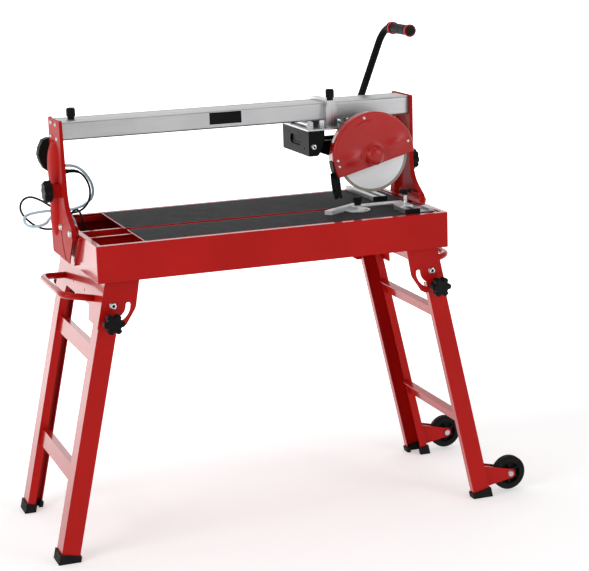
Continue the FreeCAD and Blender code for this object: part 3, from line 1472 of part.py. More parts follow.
def cords():
    spigot_z = TRAY_LOW + SHEET + PUMP_H + SPIGOT_H
    lead = [
        vec(GLAND_X + GLAND_L, LEAD_GLAND_Y, GLAND_Z),
        vec(-418, LEAD_GLAND_Y, GLAND_Z), vec(-393, 178, 922), vec(-380, 198, 885), vec(-384, 222, 847),
        vec(-406, 243, 823), vec(-442, 248, 824), vec(-476, 247, 842), vec(-508, 250, 866),
        vec(-538, 256, 878), vec(-560, 260, 864), vec(-563, 262, 838), vec(-546, 262, 812),
        vec(-518, 258, 789), vec(-486, 250, 781), vec(-458, 244, 790), vec(-434, 241, 812),
        vec(-420, 229, 836), vec(-412, 205, 834), vec(PUMP_LEAD[0], PUMP_LEAD[1], 804),
        vec(PUMP_LEAD[0], PUMP_LEAD[1], spigot_z),
    ]
    nipple_y = LEAD_GLAND_Y + 8.0
    hose = [
        vec(GLAND_X + NIPPLE_L, nipple_y, HOSE_NIPPLE_Z),
        vec(-427, nipple_y, HOSE_NIPPLE_Z), vec(-398, 183, 943), vec(-374, 198, 905), vec(-369, 218, 868),
        vec(-388, 241, 842), vec(-424, 258, 829), vec(-466, 264, 830), vec(-505, 262, 832),
        vec(-560, 246, 828), vec(-561, 200, 803), vec(-510, 192, 806), vec(-491, 215, 824),
        vec(-458, 211, 835), vec(-440, 203, 828), vec(PUMP_HOSE[0], PUMP_HOSE[1], 806),
        vec(PUMP_HOSE[0], PUMP_HOSE[1], spigot_z),
    ]
    PARTS["pump"] = pump()
    PARTS["pump_lead"] = cord("pump_lead", lead, LEAD_R)
    PARTS["water_hose"] = cord("water_hose", hose, HOSE_R)


# ------------------------------------------------------------------------ main
def centre_on_floor(cords):
    """Move every part so the footprint's middle is the origin."""
    rigid = [shape for name, shape in PARTS.items() if name not in cords]
    limits = Part.makeCompound(rigid).BoundBox
    move = vec(-(limits.XMin + limits.XMax) / 2, -(limits.YMin + limits.YMax) / 2, -limits.ZMin)
    print("shift %.4f %.4f %.4f" % (move.x, move.y, move.z))
    for shape in PARTS.values():
        shape.translate(move)


def main():
    PARTS["tray"] = tray()
    table()
    stand()
    tilt_fittings()
    bridge()
    carriage()
    head()
    fence()
    cords()
    centre_on_floor(("pump_lead", "water_hose"))
    os.makedirs("parts", exist_ok=True)
    for name, shape in PARTS.items():
        shape.exportStep("parts/%s.step" % name)
        solids = shape.Solids
        print("%-22s solids %d valid %s volume %.0f" % (name, len(solids), shape.isValid(), shape.Volume))


main()
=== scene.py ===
"""Wet tile saw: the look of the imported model, with its camera, lights, cords and fine detail.

Lengths are in metres in the row frame, angles in radians unless a name says degrees.
"""
import math

import bmesh
import bpy
from mathutils import Matrix, Vector


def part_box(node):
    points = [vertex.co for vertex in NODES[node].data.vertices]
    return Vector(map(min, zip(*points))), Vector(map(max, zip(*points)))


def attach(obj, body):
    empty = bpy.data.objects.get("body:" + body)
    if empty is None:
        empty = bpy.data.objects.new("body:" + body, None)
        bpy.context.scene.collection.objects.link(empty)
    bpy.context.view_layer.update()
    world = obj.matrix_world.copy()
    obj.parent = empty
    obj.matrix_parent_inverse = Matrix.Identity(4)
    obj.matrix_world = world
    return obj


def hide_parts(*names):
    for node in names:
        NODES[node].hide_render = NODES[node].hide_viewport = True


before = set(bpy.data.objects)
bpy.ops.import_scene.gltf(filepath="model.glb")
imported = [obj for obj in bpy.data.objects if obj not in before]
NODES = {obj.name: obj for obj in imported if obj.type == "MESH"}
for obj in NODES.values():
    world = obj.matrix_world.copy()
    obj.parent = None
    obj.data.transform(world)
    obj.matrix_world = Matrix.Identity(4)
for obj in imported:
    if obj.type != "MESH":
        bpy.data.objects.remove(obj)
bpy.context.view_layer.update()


def centre(node):
    """Middle of a node's box."""
    low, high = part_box(node)
    return (low + high) / 2


def shown(name, data):
    """New object in the scene that holds the given data."""
    obj = bpy.data.objects.new(name, data)
    bpy.context.scene.collection.objects.link(obj)
    return obj


# ---------------------------------------------------------------- camera
CAMERA_AT = Vector((-1.52705, -4.42764, 1.67900))
YAW = 0.347598         # to the right of straight ahead
PITCH = 0.224315       # downwards
ROLL = -0.03087
LENS_MM = 107.73
SENSOR_MM = 36.0
CLIP_END = 60.0


def add_camera():
    """Camera that was fitted to points of the photograph."""
    ahead = Vector(
        (math.sin(YAW) * math.cos(PITCH), math.cos(YAW) * math.cos(PITCH), -math.sin(PITCH))
    )
    level = Vector((math.cos(YAW), -math.sin(YAW), 0.0))
    upright = level.cross(ahead)
    across = math.cos(ROLL) * level + math.sin(ROLL) * upright
    upwards = math.cos(ROLL) * upright - math.sin(ROLL) * level
    data = bpy.data.cameras.new("camera")
    data.sensor_fit = "HORIZONTAL"
    data.sensor_width = SENSOR_MM
    data.lens = LENS_MM
    data.clip_end = CLIP_END
    camera = shown("camera", data)
    turn = Matrix((across, upwards, -ahead)).transposed().to_4x4()
    camera.matrix_world = Matrix.Translation(CAMERA_AT) @ turn
    bpy.context.scene.camera = camera


add_camera()

# ---------------------------------------------------------------- cords
LEAD_ROUTE = [
    (-0.4958, 0.1400, 0.9505),
    (-0.4748, 0.1400, 0.9505),
    (-0.4498, 0.1500, 0.9220),
    (-0.4368, 0.1700, 0.8850),
    (-0.4408, 0.1940, 0.8470),
    (-0.4628, 0.2150, 0.8230),
    (-0.4988, 0.2200, 0.8240),
    (-0.5328, 0.2190, 0.8420),
    (-0.5648, 0.2220, 0.8660),
    (-0.5948, 0.2280, 0.8780),
    (-0.6168, 0.2320, 0.8640),
    (-0.6198, 0.2340, 0.8380),
    (-0.6028, 0.2340, 0.8120),
    (-0.5748, 0.2300, 0.7890),
    (-0.5428, 0.2220, 0.7810),
    (-0.5148, 0.2160, 0.7900),
    (-0.4908, 0.2130, 0.8120),
    (-0.4768, 0.2010, 0.8360),
    (-0.4688, 0.1770, 0.8340),
    (-0.4648, 0.1500, 0.8040),
    (-0.4648, 0.1500, 0.7790),
]
HOSE_ROUTE = [
    (-0.5078, 0.1480, 0.9650),
    (-0.4838, 0.1480, 0.9650),
    (-0.4548, 0.1550, 0.9430),
    (-0.4308, 0.1700, 0.9050),
    (-0.4258, 0.1900, 0.8680),
    (-0.4448, 0.2130, 0.8420),
    (-0.4808, 0.2300, 0.8290),
    (-0.5228, 0.2360, 0.8300),
    (-0.5618, 0.2340, 0.8320),
    (-0.6168, 0.2180, 0.8280),
    (-0.6178, 0.1720, 0.8030),
    (-0.5668, 0.1640, 0.8060),
    (-0.5478, 0.1870, 0.8240),
    (-0.5148, 0.1830, 0.8350),
    (-0.4968, 0.1750, 0.8280),
    (-0.4868, 0.1500, 0.8060),
    (-0.4868, 0.1500, 0.7790),
]

LEAD_D = 0.006
HOSE_D = 0.008
CURVE_STEPS = 16
BEVEL_STEPS = 5
CURVE_ORDER = 3


def routed_curve(name, route, diameter):
    """A round cord along a NURBS line that has the route as its control points."""
    data = bpy.data.curves.new(name, "CURVE")
    data.dimensions = "3D"
    data.resolution_u = CURVE_STEPS
    data.bevel_depth = diameter / 2
    data.bevel_resolution = BEVEL_STEPS
    data.use_fill_caps = True
    spline = data.splines.new("NURBS")
    spline.points.add(len(route) - 1)
    for point, at in zip(spline.points, route):
        point.co = (*at, 1.0)
    spline.order_u = CURVE_ORDER
    spline.use_endpoint_u = True
    return shown(name, data)


lead = routed_curve("pump_lead_cord", LEAD_ROUTE, LEAD_D)
hose = routed_curve("water_hose_cord", HOSE_ROUTE, HOSE_D)

# ---------------------------------------------------------------- shader tools
BEVEL_SAMPLES = 4


def start(name, colour, rough, metallic=0.0, **sockets):
    """A principled material, whose uniform values sit on the shader's own sockets."""
    made = bpy.data.materials.new(name)
    made.use_nodes = True
    shader = made.node_tree.nodes["Principled BSDF"]
    shader.inputs["Base Color"].default_value = (*colour, 1.0)
    shader.inputs["Roughness"].default_value = rough
    shader.inputs["Metallic"].default_value = metallic
    for socket, value in sockets.items():
        shader.inputs[socket.replace("_", " ")].default_value = value
    return made, made.node_tree, shader


def feed(tree, shader, **outputs):
    """Links node outputs to the shader's sockets, named with underscores for spaces."""
    for socket, output in outputs.items():
        tree.links.new(output, shader.inputs[socket.replace("_", " ")])


def place(tree, scale=(1.0, 1.0, 1.0), at=(0.0, 0.0, 0.0)):
    """Object coordinates, in metres, moved and then stretched."""
    coords = tree.nodes.new("ShaderNodeTexCoord")
    mapping = tree.nodes.new("ShaderNodeMapping")
    mapping.inputs["Scale"].default_value = scale
    mapping.inputs["Location"].default_value = [-a * s for a, s in zip(at, scale)]
    tree.links.new(coords.outputs["Object"], mapping.inputs["Vector"])
    return mapping.outputs["Vector"]


def noise(tree, where, scale, detail=3.0):
    """Soft noise from 0 to 1, with scale repeats to the metre."""
    node = tree.nodes.new("ShaderNodeTexNoise")
    node.inputs["Scale"].default_value = scale
    node.inputs["Detail"].default_value = detail
    tree.links.new(where, node.inputs["Vector"])
    return node.outputs["Fac"]


def cells(tree, where, scale):
    """Distance to the middle of the nearest grain."""
    node = tree.nodes.new("ShaderNodeTexVoronoi")
    node.inputs["Scale"].default_value = scale
    tree.links.new(where, node.inputs["Vector"])
    return node.outputs["Distance"]


def maths(tree, how, a, b):
    """One operation on two values, each a number or a node's output."""
    node = tree.nodes.new("ShaderNodeMath")
    node.operation = how
    for socket, value in zip(node.inputs, (a, b)):
        if isinstance(value, (int, float)):
            socket.default_value = value
        else:
            tree.links.new(value, socket)
    return node.outputs["Value"]


def mean(tree, a, b):
    return maths(tree, "MULTIPLY", maths(tree, "ADD", a, b), 0.5)


def spread(tree, value, low, high, start_at=0.3, end_at=0.7):
    """Runs from low to high while the value goes from start_at to end_at."""
    node = tree.nodes.new("ShaderNodeMapRange")
    node.inputs["From Min"].default_value = start_at
    node.inputs["From Max"].default_value = end_at
    node.inputs["To Min"].default_value = low
    node.inputs["To Max"].default_value = high
    tree.links.new(value, node.inputs["Value"])
    return node.outputs["Result"]


def tinted(tree, value, tones, start_at=0.3, end_at=0.7):
    """Runs from a dark tone to a light one while the value goes from start_at to end_at."""
    node = tree.nodes.new("ShaderNodeValToRGB")
    for band, at, tone in zip(node.color_ramp.elements, (start_at, end_at), tones):
        band.position = at
        band.color = (*tone, 1.0)
    tree.links.new(value, node.inputs["Fac"])
    return node.outputs["Color"]


def blended(tree, share, a, b):
    """Colour a where share is 0, b where it is 1."""
    node = tree.nodes.new("ShaderNodeMix")
    node.data_type = "RGBA"
    for name, output in (("Factor_Float", share), ("A_Color", a), ("B_Color", b)):
        tree.links.new(output, next(s for s in node.inputs if s.identifier == name))
    return next(s for s in node.outputs if s.identifier == "Result_Color")


def bumped(tree, shader, height, strength, distance, edge=None):
    """Relief on the surface, over edges softened to a radius where one is given."""
    node = tree.nodes.new("ShaderNodeBump")
    node.inputs["Strength"].default_value = strength
    node.inputs["Distance"].default_value = distance
    tree.links.new(height, node.inputs["Height"])
    if edge is not None:
        soft = tree.nodes.new("ShaderNodeBevel")
        soft.samples = BEVEL_SAMPLES
        soft.inputs["Radius"].default_value = edge
        tree.links.new(soft.outputs["Normal"], node.inputs["Normal"])
    tree.links.new(node.outputs["Normal"], shader.inputs["Normal"])


# ---------------------------------------------------------------- materials
FINE_EDGE = 0.0006
COAT_IOR = 1.37
FACING_COAT = 0.06      # share of the coat left where the paint faces the eye
METAL_BAND = {"start_at": 0.35, "end_at": 0.65}
STREAK_STRETCH = 150.0  # how much longer a brush mark is than it is wide
BLADE_ROUGH = 0.34
RIM_W = 0.008           # the blade's sintered rim

RED_TONES = ((0.43, 0.006, 0.004), (0.50, 0.008, 0.006))
SHADED_RED_TONES = ((0.40, 0.006, 0.004), (0.46, 0.008, 0.006))
# darker copy of the red paint for the towers: painted shade, on the same paint as the tray
BLACK_TONES = ((0.004, 0.004, 0.005), (0.009, 0.009, 0.010))
PLASTIC_TONES = ((0.005, 0.005, 0.006), (0.009, 0.009, 0.010))
RUBBER_TONES = ((0.008, 0.008, 0.008), (0.015, 0.015, 0.015))
GRIP_TONES = ((0.006, 0.006, 0.007), (0.013, 0.013, 0.014))
RING_TONES = ((0.50, 0.010, 0.010), (0.60, 0.016, 0.014))
SHEATH_TONES = ((0.010, 0.010, 0.011), (0.017, 0.017, 0.018))
RAIL_TONES = ((0.54, 0.54, 0.55), (0.68, 0.68, 0.69))
FENCE_TONES = ((0.72, 0.73, 0.74), (0.88, 0.89, 0.90))
PLATE_TONES = ((0.40, 0.40, 0.41), (0.54, 0.54, 0.55))
ZINC_TONES = ((0.55, 0.55, 0.56), (0.72, 0.72, 0.73))
BOLT_TONES = ((0.42, 0.42, 0.43), (0.60, 0.60, 0.61))
CHROME_TONES = ((0.68, 0.69, 0.70), (0.80, 0.81, 0.82))
MAT_TONES = ((0.022, 0.022, 0.025), (0.036, 0.036, 0.040))
BLADE_TONES = ((0.88, 0.88, 0.90), (0.97, 0.97, 0.98))
GRIT_TONES = ((0.20, 0.18, 0.15), (0.38, 0.35, 0.30))
HOSE_TONES = ((0.52, 0.78, 0.90), (0.68, 0.89, 0.96))
FLOOR_TONES = ((0.79, 0.79, 0.79), (0.82, 0.82, 0.82))


def powder_coat(name, tones, rough, coat, peel, edge, shine):
    """Stoved paint: orange peel, uneven gloss that grows at a glancing angle, softened edges."""
    made, tree, shader = start(
        name, tones[1], rough, Specular_IOR_Level=shine, Coat_Roughness=0.08, Coat_IOR=COAT_IOR
    )
    where = place(tree)
    glance = tree.nodes.new("ShaderNodeLayerWeight").outputs["Facing"]
    cloud = noise(tree, where, scale=12.0, detail=2.0)
    feed(
        tree, shader,
        Coat_Weight=spread(tree, glance, FACING_COAT * coat, coat, start_at=0.15, end_at=0.6),
        Base_Color=tinted(tree, noise(tree, where, scale=5.0, detail=2.0), tones),
        Roughness=spread(tree, cloud, rough * 0.96, rough * 1.06),
    )
    relief = noise(tree, where, scale=peel, detail=2.0)
    bumped(tree, shader, relief, strength=0.12, distance=0.0004, edge=edge)
    return made


def moulded(name, tones, rough, grain):
    """Moulded plastic or rubber with a fine spark-eroded grain."""
    made, tree, shader = start(name, tones[1], rough, Specular_IOR_Level=0.10)
    where = place(tree)
    feed(
        tree, shader,
        Base_Color=tinted(tree, noise(tree, where, scale=18.0, detail=5.0), tones),
        Roughness=spread(tree, noise(tree, where, scale=60.0), rough * 0.85, rough * 1.15),
    )
    relief = noise(tree, where, scale=grain, detail=2.0)
    bumped(tree, shader, relief, strength=0.25, distance=0.0003, edge=FINE_EDGE)
    return made


def brushed(name, tones, rough, along, metal=1.0):
    """Bright metal brushed along one axis: streaks that way in colour, gloss and relief."""
    made, tree, shader = start(name, tones[1], rough, metal)
    stretch = [1.0 if axis == along else STREAK_STRETCH for axis in "xyz"]
    streak = noise(tree, place(tree, stretch), scale=6.0, detail=4.0)
    mixed = mean(tree, streak, noise(tree, place(tree), scale=9.0))
    feed(
        tree, shader,
        Base_Color=tinted(tree, mixed, tones, **METAL_BAND),
        Roughness=spread(tree, mixed, rough * 0.8, rough * 1.3),
    )
    bumped(tree, shader, streak, strength=0.1, distance=0.0002, edge=FINE_EDGE)
    return made


def mat_rubber():
    """Pebbled rubber sheet, dark grey."""
    made, tree, shader = start("mat_rubber", (0.030, 0.030, 0.033), 0.7, Specular_IOR_Level=0.1)
    where = place(tree)
    pebble = cells(tree, where, scale=420.0)
    feed(
        tree, shader,
        Base_Color=tinted(tree, noise(tree, where, scale=30.0, detail=6.0), MAT_TONES),
        Roughness=spread(tree, pebble, 0.5, 0.75, start_at=0.0, end_at=0.8),
    )
    bumped(tree, shader, pebble, strength=0.5, distance=0.0005)
    return made


def blade_metal():
    """Steel disc ground in fine rings, with a sintered rim of its own colour and grain."""
    low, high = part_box("blade")
    rough = BLADE_ROUGH
    made, tree, shader = start("blade_steel", BLADE_TONES[1], rough, metallic=0.1)
    measure = tree.nodes.new("ShaderNodeVectorMath")
    measure.operation = "LENGTH"
    tree.links.new(place(tree, (1.0, 0.0, 1.0), centre("blade")), measure.inputs[0])
    far = measure.outputs["Value"]
    rings = noise(tree, far, scale=700.0, detail=2.0)
    mixed = mean(tree, rings, noise(tree, place(tree), scale=25.0))
    disc = tinted(tree, mixed, BLADE_TONES, **METAL_BAND)
    ground = spread(tree, mixed, rough * 0.8, rough * 1.3)
    grain = cells(tree, place(tree), scale=900.0)
    grit = tinted(tree, grain, GRIT_TONES, start_at=0.1, end_at=0.6)
    rim = maths(tree, "GREATER_THAN", far, (high.z - low.z) / 2 - RIM_W)
    feed(
        tree, shader,
        Base_Color=blended(tree, rim, disc, grit),
        Roughness=maths(tree, "ADD", ground, maths(tree, "MULTIPLY", rim, 0.35)),
    )
    bumped(tree, shader, rings, strength=0.08, distance=0.0001, edge=0.0004)
    return made


def hose_plastic():
    """Clear blue tube: cloudy, a little see-through, with faint drawing lines."""
    made, tree, shader = start(
        "hose_plastic", (0.60, 0.83, 0.93), 0.2, Transmission_Weight=0.12, IOR=1.42, Coat_Weight=0.3
    )
    where = place(tree)
    feed(tree, shader, Base_Color=tinted(tree, noise(tree, where, scale=14.0), HOSE_TONES))
    bumped(tree, shader, noise(tree, where, scale=300.0), strength=0.1, distance=0.0002)
    return made


RED = powder_coat("red_coat", RED_TONES, rough=0.3, coat=1.0, peel=420.0, edge=0.0012, shine=0.12)
GUARD_RED = powder_coat(
    "red_coat_guard", RED_TONES, rough=0.36, coat=1.0, peel=420.0, edge=0.0010, shine=0.45
)
# the towers' red: less coat, and a darker base that is painted shade
DULL_SHADED_RED = powder_coat(
    "red_coat_dull_shaded", SHADED_RED_TONES, rough=0.5, coat=0.08, peel=420.0, edge=0.0012, shine=0.06
)
BLACK_METAL = powder_coat(
    "black_coat", BLACK_TONES, rough=0.45, coat=0.03, peel=700.0, edge=0.0010, shine=0.07
)
BLACK_PLASTIC = moulded("black_plastic", PLASTIC_TONES, rough=0.5, grain=1400.0)
FOOT_RUBBER = moulded("foot_rubber", RUBBER_TONES, rough=0.6, grain=900.0)
GRIP_RUBBER = moulded("grip_rubber", GRIP_TONES, rough=0.5, grain=1600.0)
TYRE_RUBBER = moulded("tyre_rubber", RUBBER_TONES, rough=0.65, grain=700.0)
RED_PLASTIC = moulded("red_plastic", RING_TONES, rough=0.3, grain=900.0)
RAIL_METAL = brushed("rail_aluminium", RAIL_TONES, rough=0.42, along="x")
FENCE_METAL = brushed("fence_aluminium", FENCE_TONES, rough=0.36, along="y", metal=0.6)
PLATE_ZINC = brushed("zinc_plate", PLATE_TONES, rough=0.34, along="y")
PART_ZINC = brushed("zinc_part", ZINC_TONES, rough=0.3, along="z")
BOLT_STEEL = brushed("bolt_steel", BOLT_TONES, rough=0.3, along="y")
CHROME = brushed("chrome", CHROME_TONES, rough=0.1, along="y")
MAT = mat_rubber()
BLADE_STEEL = blade_metal()
HOSE_PLASTIC = hose_plastic()
LEAD_SHEATH = moulded("lead_sheath", SHEATH_TONES, rough=0.45, grain=1100.0)

FINISH = {
    RED: (
        "tray", "left_leg_bracket", "right_leg_bracket", "carry_handles", "left_leg_frame",
        "right_leg_frame", "tilt_stops", "rear_table_plate", "front_table_plate",
    ),
    GUARD_RED: ("guard_cover",),
    DULL_SHADED_RED: ("left_tower", "right_tower"),
    BLACK_METAL: ("head_bracket", "motor", "guard_back", "handle_tube", "flap_hanger"),
    BLACK_PLASTIC: (
        "left_front_star_knob", "left_rear_star_knob", "right_front_star_knob",
        "right_rear_star_knob", "left_tower_knob", "right_tower_knob", "rail_stop_knob",
        "rail_label", "switch_box", "cable_gland", "carriage_knob", "fence_caps", "wing_knob",
        "stop_knob", "pump", "front_wheel_hub", "rear_wheel_hub",
    ),
    FOOT_RUBBER: ("left_feet", "right_feet", "splash_flap"),
    GRIP_RUBBER: ("handle_grip",),
    TYRE_RUBBER: ("front_wheel_tyre", "rear_wheel_tyre"),
    RED_PLASTIC: ("grip_rings",),
    RAIL_METAL: ("rail",),
    FENCE_METAL: ("angle_stop", "guide_arm"),
    PLATE_ZINC: ("corner_clamp", "fence_rails"),
    PART_ZINC: ("carriage_saddle",),
    BOLT_STEEL: (
        "leg_pivot_bolts", "wheel_bolts", "tilt_bolts", "tower_screws", "plunge_bolt",
        "blade_flanges",
    ),
    CHROME: ("roller_left", "roller_right", "guard_screws"),
    MAT: ("table_mats",),
    BLADE_STEEL: ("blade",),
}


def painted(obj, material):
    """Gives an object one material."""
    obj.data.materials.clear()
    obj.data.materials.append(material)


# ---------------------------------------------------------------- mesh tools
EDGE_SPLIT = math.radians(40)


def seated(name, mesh, material, body):
    """Object with a mesh made in the row frame, which rides on a body."""
    obj = shown(name, mesh)
    painted(obj, material)
    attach(obj, body)
    return obj


def piece(name, points, faces, material, body, smooth=True):
    """Seated object with a mesh of the given points and faces."""
    mesh = bpy.data.meshes.new(name)
    mesh.from_pydata([tuple(p) for p in points], [], faces)
    mesh.validate()
    if smooth:
        mesh.shade_smooth()
    return seated(name, mesh, material, body)


def applied(obj, kind, **settings):
    """Adds one modifier and applies it to the mesh."""
    modifier = obj.modifiers.new(kind.lower(), kind)
    for key, value in settings.items():
        setattr(modifier, key, value)
    seen = obj.evaluated_get(bpy.context.evaluated_depsgraph_get())
    mesh = bpy.data.meshes.new_from_object(seen)
    obj.modifiers.clear()
    obj.data = mesh
    return obj


def full_turn(count):
    """Equal angles round a circle."""
    return [2 * math.pi * k / count for k in range(count)]


def ring_faces(rows, count, first_cap=True):
    """Faces round a stack of rings of points, with its ends closed."""
    faces = []
    for i in range(rows - 1):
        a, b = i * count, (i + 1) * count
        for k in range(count):
            n = (k + 1) % count
            faces.append((a + k, a + n, b + n, b + k))
    if first_cap:
        faces.append(tuple(reversed(range(count))))
    faces.append(tuple(range((rows - 1) * count, rows * count)))
    return faces


def swept(name, path, radius, sides, material, body, swell=None):
    """Round strand along a list of points. swell gives each point's share of the radius."""
    points = []
    side = (path[1] - path[0]).orthogonal()
    for i, at in enumerate(path):
        run = (path[min(i + 1, len(path) - 1)] - path[max(i - 1, 0)]).normalized()
        side = (side - side.dot(run) * run).normalized()
        other = run.cross(side)
        reach = radius * (swell[i] if swell else 1.0)
        for angle in full_turn(sides):
            points.append(at + reach * (math.cos(angle) * side + math.sin(angle) * other))
    return piece(name, points, ring_faces(len(path), sides), material, body)


def lathe(name, at, profile, count, material, body):
    """Closed solid turned about an axis along y. profile gives (y, radius) pairs."""
    points = [
        (at.x + radius * math.cos(angle), at.y + y, at.z + radius * math.sin(angle))
        for y, radius in profile
        for angle in full_turn(count)
    ]
    obj = piece(name, points, ring_faces(len(profile), count), material, body)
    return applied(obj, "EDGE_SPLIT", split_angle=EDGE_SPLIT)


def rounded_block(name, low, high, edge, material, body):
    """Moulded block with rounded edges."""
    made = bmesh.new()
    bmesh.ops.create_cube(made, size=1.0)
    size = Vector(high) - Vector(low)
    middle = (Vector(high) + Vector(low)) / 2
    for v in made.verts:
        v.co = middle + Vector([v.co[k] * size[k] for k in range(3)])
    bmesh.ops.bevel(
        made, geom=made.edges[:], offset=edge, segments=4, profile=0.5, affect="EDGES"
    )
    mesh = bpy.data.meshes.new(name)
    made.to_mesh(mesh)
    made.free()
    mesh.shade_smooth()
    return seated(name, mesh, material, body)


def soft_step(value, low, high):
    """Rises smoothly from 0 at low to 1 at high."""
    share = min(max((value - low) / (high - low), 0.0), 1.0)
    return share * share * (3 - 2 * share)


# ---------------------------------------------------------------- the guard's cover
BLADE_AT = centre("blade")
GUARD_R = 0.1185
GUARD_CHORD = 0.026     # open edge below the blade's axis
GUARD_ROLL = 0.006      # rolled rim
GUARD_TILT = math.radians(14.6)
GUARD_SHEET = 0.0018
GUARD_FACE = BLADE_AT.y - 0.012
GUARD_REAR = BLADE_AT.y + 0.0182
GUARD_AROUND = 168
GUARD_RINGS = 66
GUARD_CROWDING = 1.15   # rings crowd towards the rim
DOME_R = 0.027
DOME_OUT = 0.020
DOME_CURVE = (3, 0.45)
COLLAR_OUT = 0.0020
COLLAR_R = (0.0305, 0.0350)
CALM_R = (0.030, 0.045)         # the swells fade out towards the collar
SWELLS = ((-1, 0.0072), (1, 0.0066))
SWELL_AT = (0.066, 0.006)
SWELL_SIZE = (0.030, 0.017)
SWELL_RISE = 0.10
HOLLOW_IN = 0.0022
HOLLOW_AT = (0.01, 0.062)
HOLLOW_SIZE = (0.05, 0.02)
LOUVRE_OUT = 0.0026
LOUVRE_R = 0.095
LOUVRE_HALF = (0.0015, 0.0040)
LOUVRE_AT = math.radians(91.0)
LOUVRE_SPAN = (0.22, 0.30)


def guard_relief(u, w):
    """How far the pressed face stands out at a point."""
    far = math.hypot(u, w)
    out = 0.0
    for side, height in SWELLS:
        along = (u - side * SWELL_AT[0]) / SWELL_SIZE[0]
        over = (w - SWELL_AT[1] - SWELL_RISE * abs(u)) / SWELL_SIZE[1]
        out += height * math.exp(-along * along - over * over)
    along = (u - HOLLOW_AT[0]) / HOLLOW_SIZE[0]
    over = (w - HOLLOW_AT[1]) / HOLLOW_SIZE[1]
    out -= HOLLOW_IN * math.exp(-along * along - over * over)
    out = out * soft_step(far, *CALM_R) + COLLAR_OUT * (1 - soft_step(far, *COLLAR_R))
    if far < DOME_R:
        flat, round_off = DOME_CURVE
        out = max(out, DOME_OUT * (1 - (far / DOME_R) ** flat) ** round_off)
    louvre = 1 - soft_step(abs(far - LOUVRE_R), *LOUVRE_HALF)
    louvre *= 1 - soft_step(abs(math.atan2(w, u) - LOUVRE_AT), *LOUVRE_SPAN)
    out += LOUVRE_OUT * louvre
    rolled = far - (GUARD_R - GUARD_ROLL)
    if rolled > 0:
        out -= GUARD_ROLL - math.sqrt(max(GUARD_ROLL**2 - rolled**2, 0.0))
    return out


def guard_point(u, w, y):
    """Point at u along the tilted chord and w above the blade's axis."""
    x = u * math.cos(GUARD_TILT) - w * math.sin(GUARD_TILT)
    z = u * math.sin(GUARD_TILT) + w * math.cos(GUARD_TILT)
    return BLADE_AT.x + x, y, BLADE_AT.z + z


def guard_shell():
    """One pressed sheet with a dome, a collar, soft swells, a louvre and a rolled rim."""
    spokes = []
    for angle in full_turn(GUARD_AROUND):
        chord = -GUARD_CHORD / math.sin(angle) if math.sin(angle) < 0 else math.inf
        spokes.append((math.cos(angle), math.sin(angle), min(GUARD_R, chord), chord >= GUARD_R))
    points = [guard_point(0.0, 0.0, GUARD_FACE - guard_relief(0.0, 0.0))]
    for i in range(1, GUARD_RINGS + 1):
        share = 1 - (1 - i / GUARD_RINGS) ** GUARD_CROWDING
        for cos, sin, limit, _ in spokes:
            u, w = limit * share * cos, limit * share * sin
            points.append(guard_point(u, w, GUARD_FACE - guard_relief(u, w)))
    rim = 1 + (GUARD_RINGS - 1) * GUARD_AROUND
    skirt = len(points)
    for cos, sin, limit, _ in spokes:
        points.append(guard_point(limit * cos, limit * sin, GUARD_REAR))
    faces = []
    for k in range(GUARD_AROUND):
        n = (k + 1) % GUARD_AROUND
        faces.append((0, 1 + k, 1 + n))
        for i in range(GUARD_RINGS - 1):
            a, b = 1 + i * GUARD_AROUND, 1 + (i + 1) * GUARD_AROUND
            faces.append((a + k, b + k, b + n, a + n))
    for k in range(GUARD_AROUND):
        n = (k + 1) % GUARD_AROUND
        if spokes[k][3] and spokes[n][3]:
            faces.append((rim + k, skirt + k, skirt + n, rim + n))
    obj = piece("guard_cover_sheet", points, faces, GUARD_RED, "head")
    welded = bmesh.new()
    welded.from_mesh(obj.data)
    loose = [v for v in welded.verts if not v.link_faces]
    bmesh.ops.delete(welded, geom=loose, context="VERTS")
    bmesh.ops.recalc_face_normals(welded, faces=welded.faces)
    if welded.faces[0].normal.y > 0:
        bmesh.ops.reverse_faces(welded, faces=welded.faces)
    welded.to_mesh(obj.data)
    welded.free()
    applied(obj, "SOLIDIFY", thickness=GUARD_SHEET, offset=-1.0)
    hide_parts("guard_cover")


# ---------------------------------------------------------------- the rubber flap
FLAP_W = 0.025
FLAP_SHEET = 0.0028
FLAP_EDGE = 0.0004
FLAP_SWEEP = 0.009      # how far its foot trails
SWEEP_POWER = 1.4
FLAP_START = 0.001      # left edge past its node's
FLAP_LIFT = 0.004       # foot above its node's foot
FLAP_OFF = 0.001        # behind the blade's plane
FLAP_BOW = 0.005        # how far its middle stands behind its edges
FLAP_SWAY = 0.0022      # how far the strips stray from one another, across the sheet
FLAP_CURL = 0.0012      # and how far along it
FLAP_TORN = 0.0045      # how much shorter the shortest strip is
FLAP_ROWS = 26
FLAP_COLUMNS = 24
STRIP_COLUMNS = 6
CUT_FROM_ROW = 15


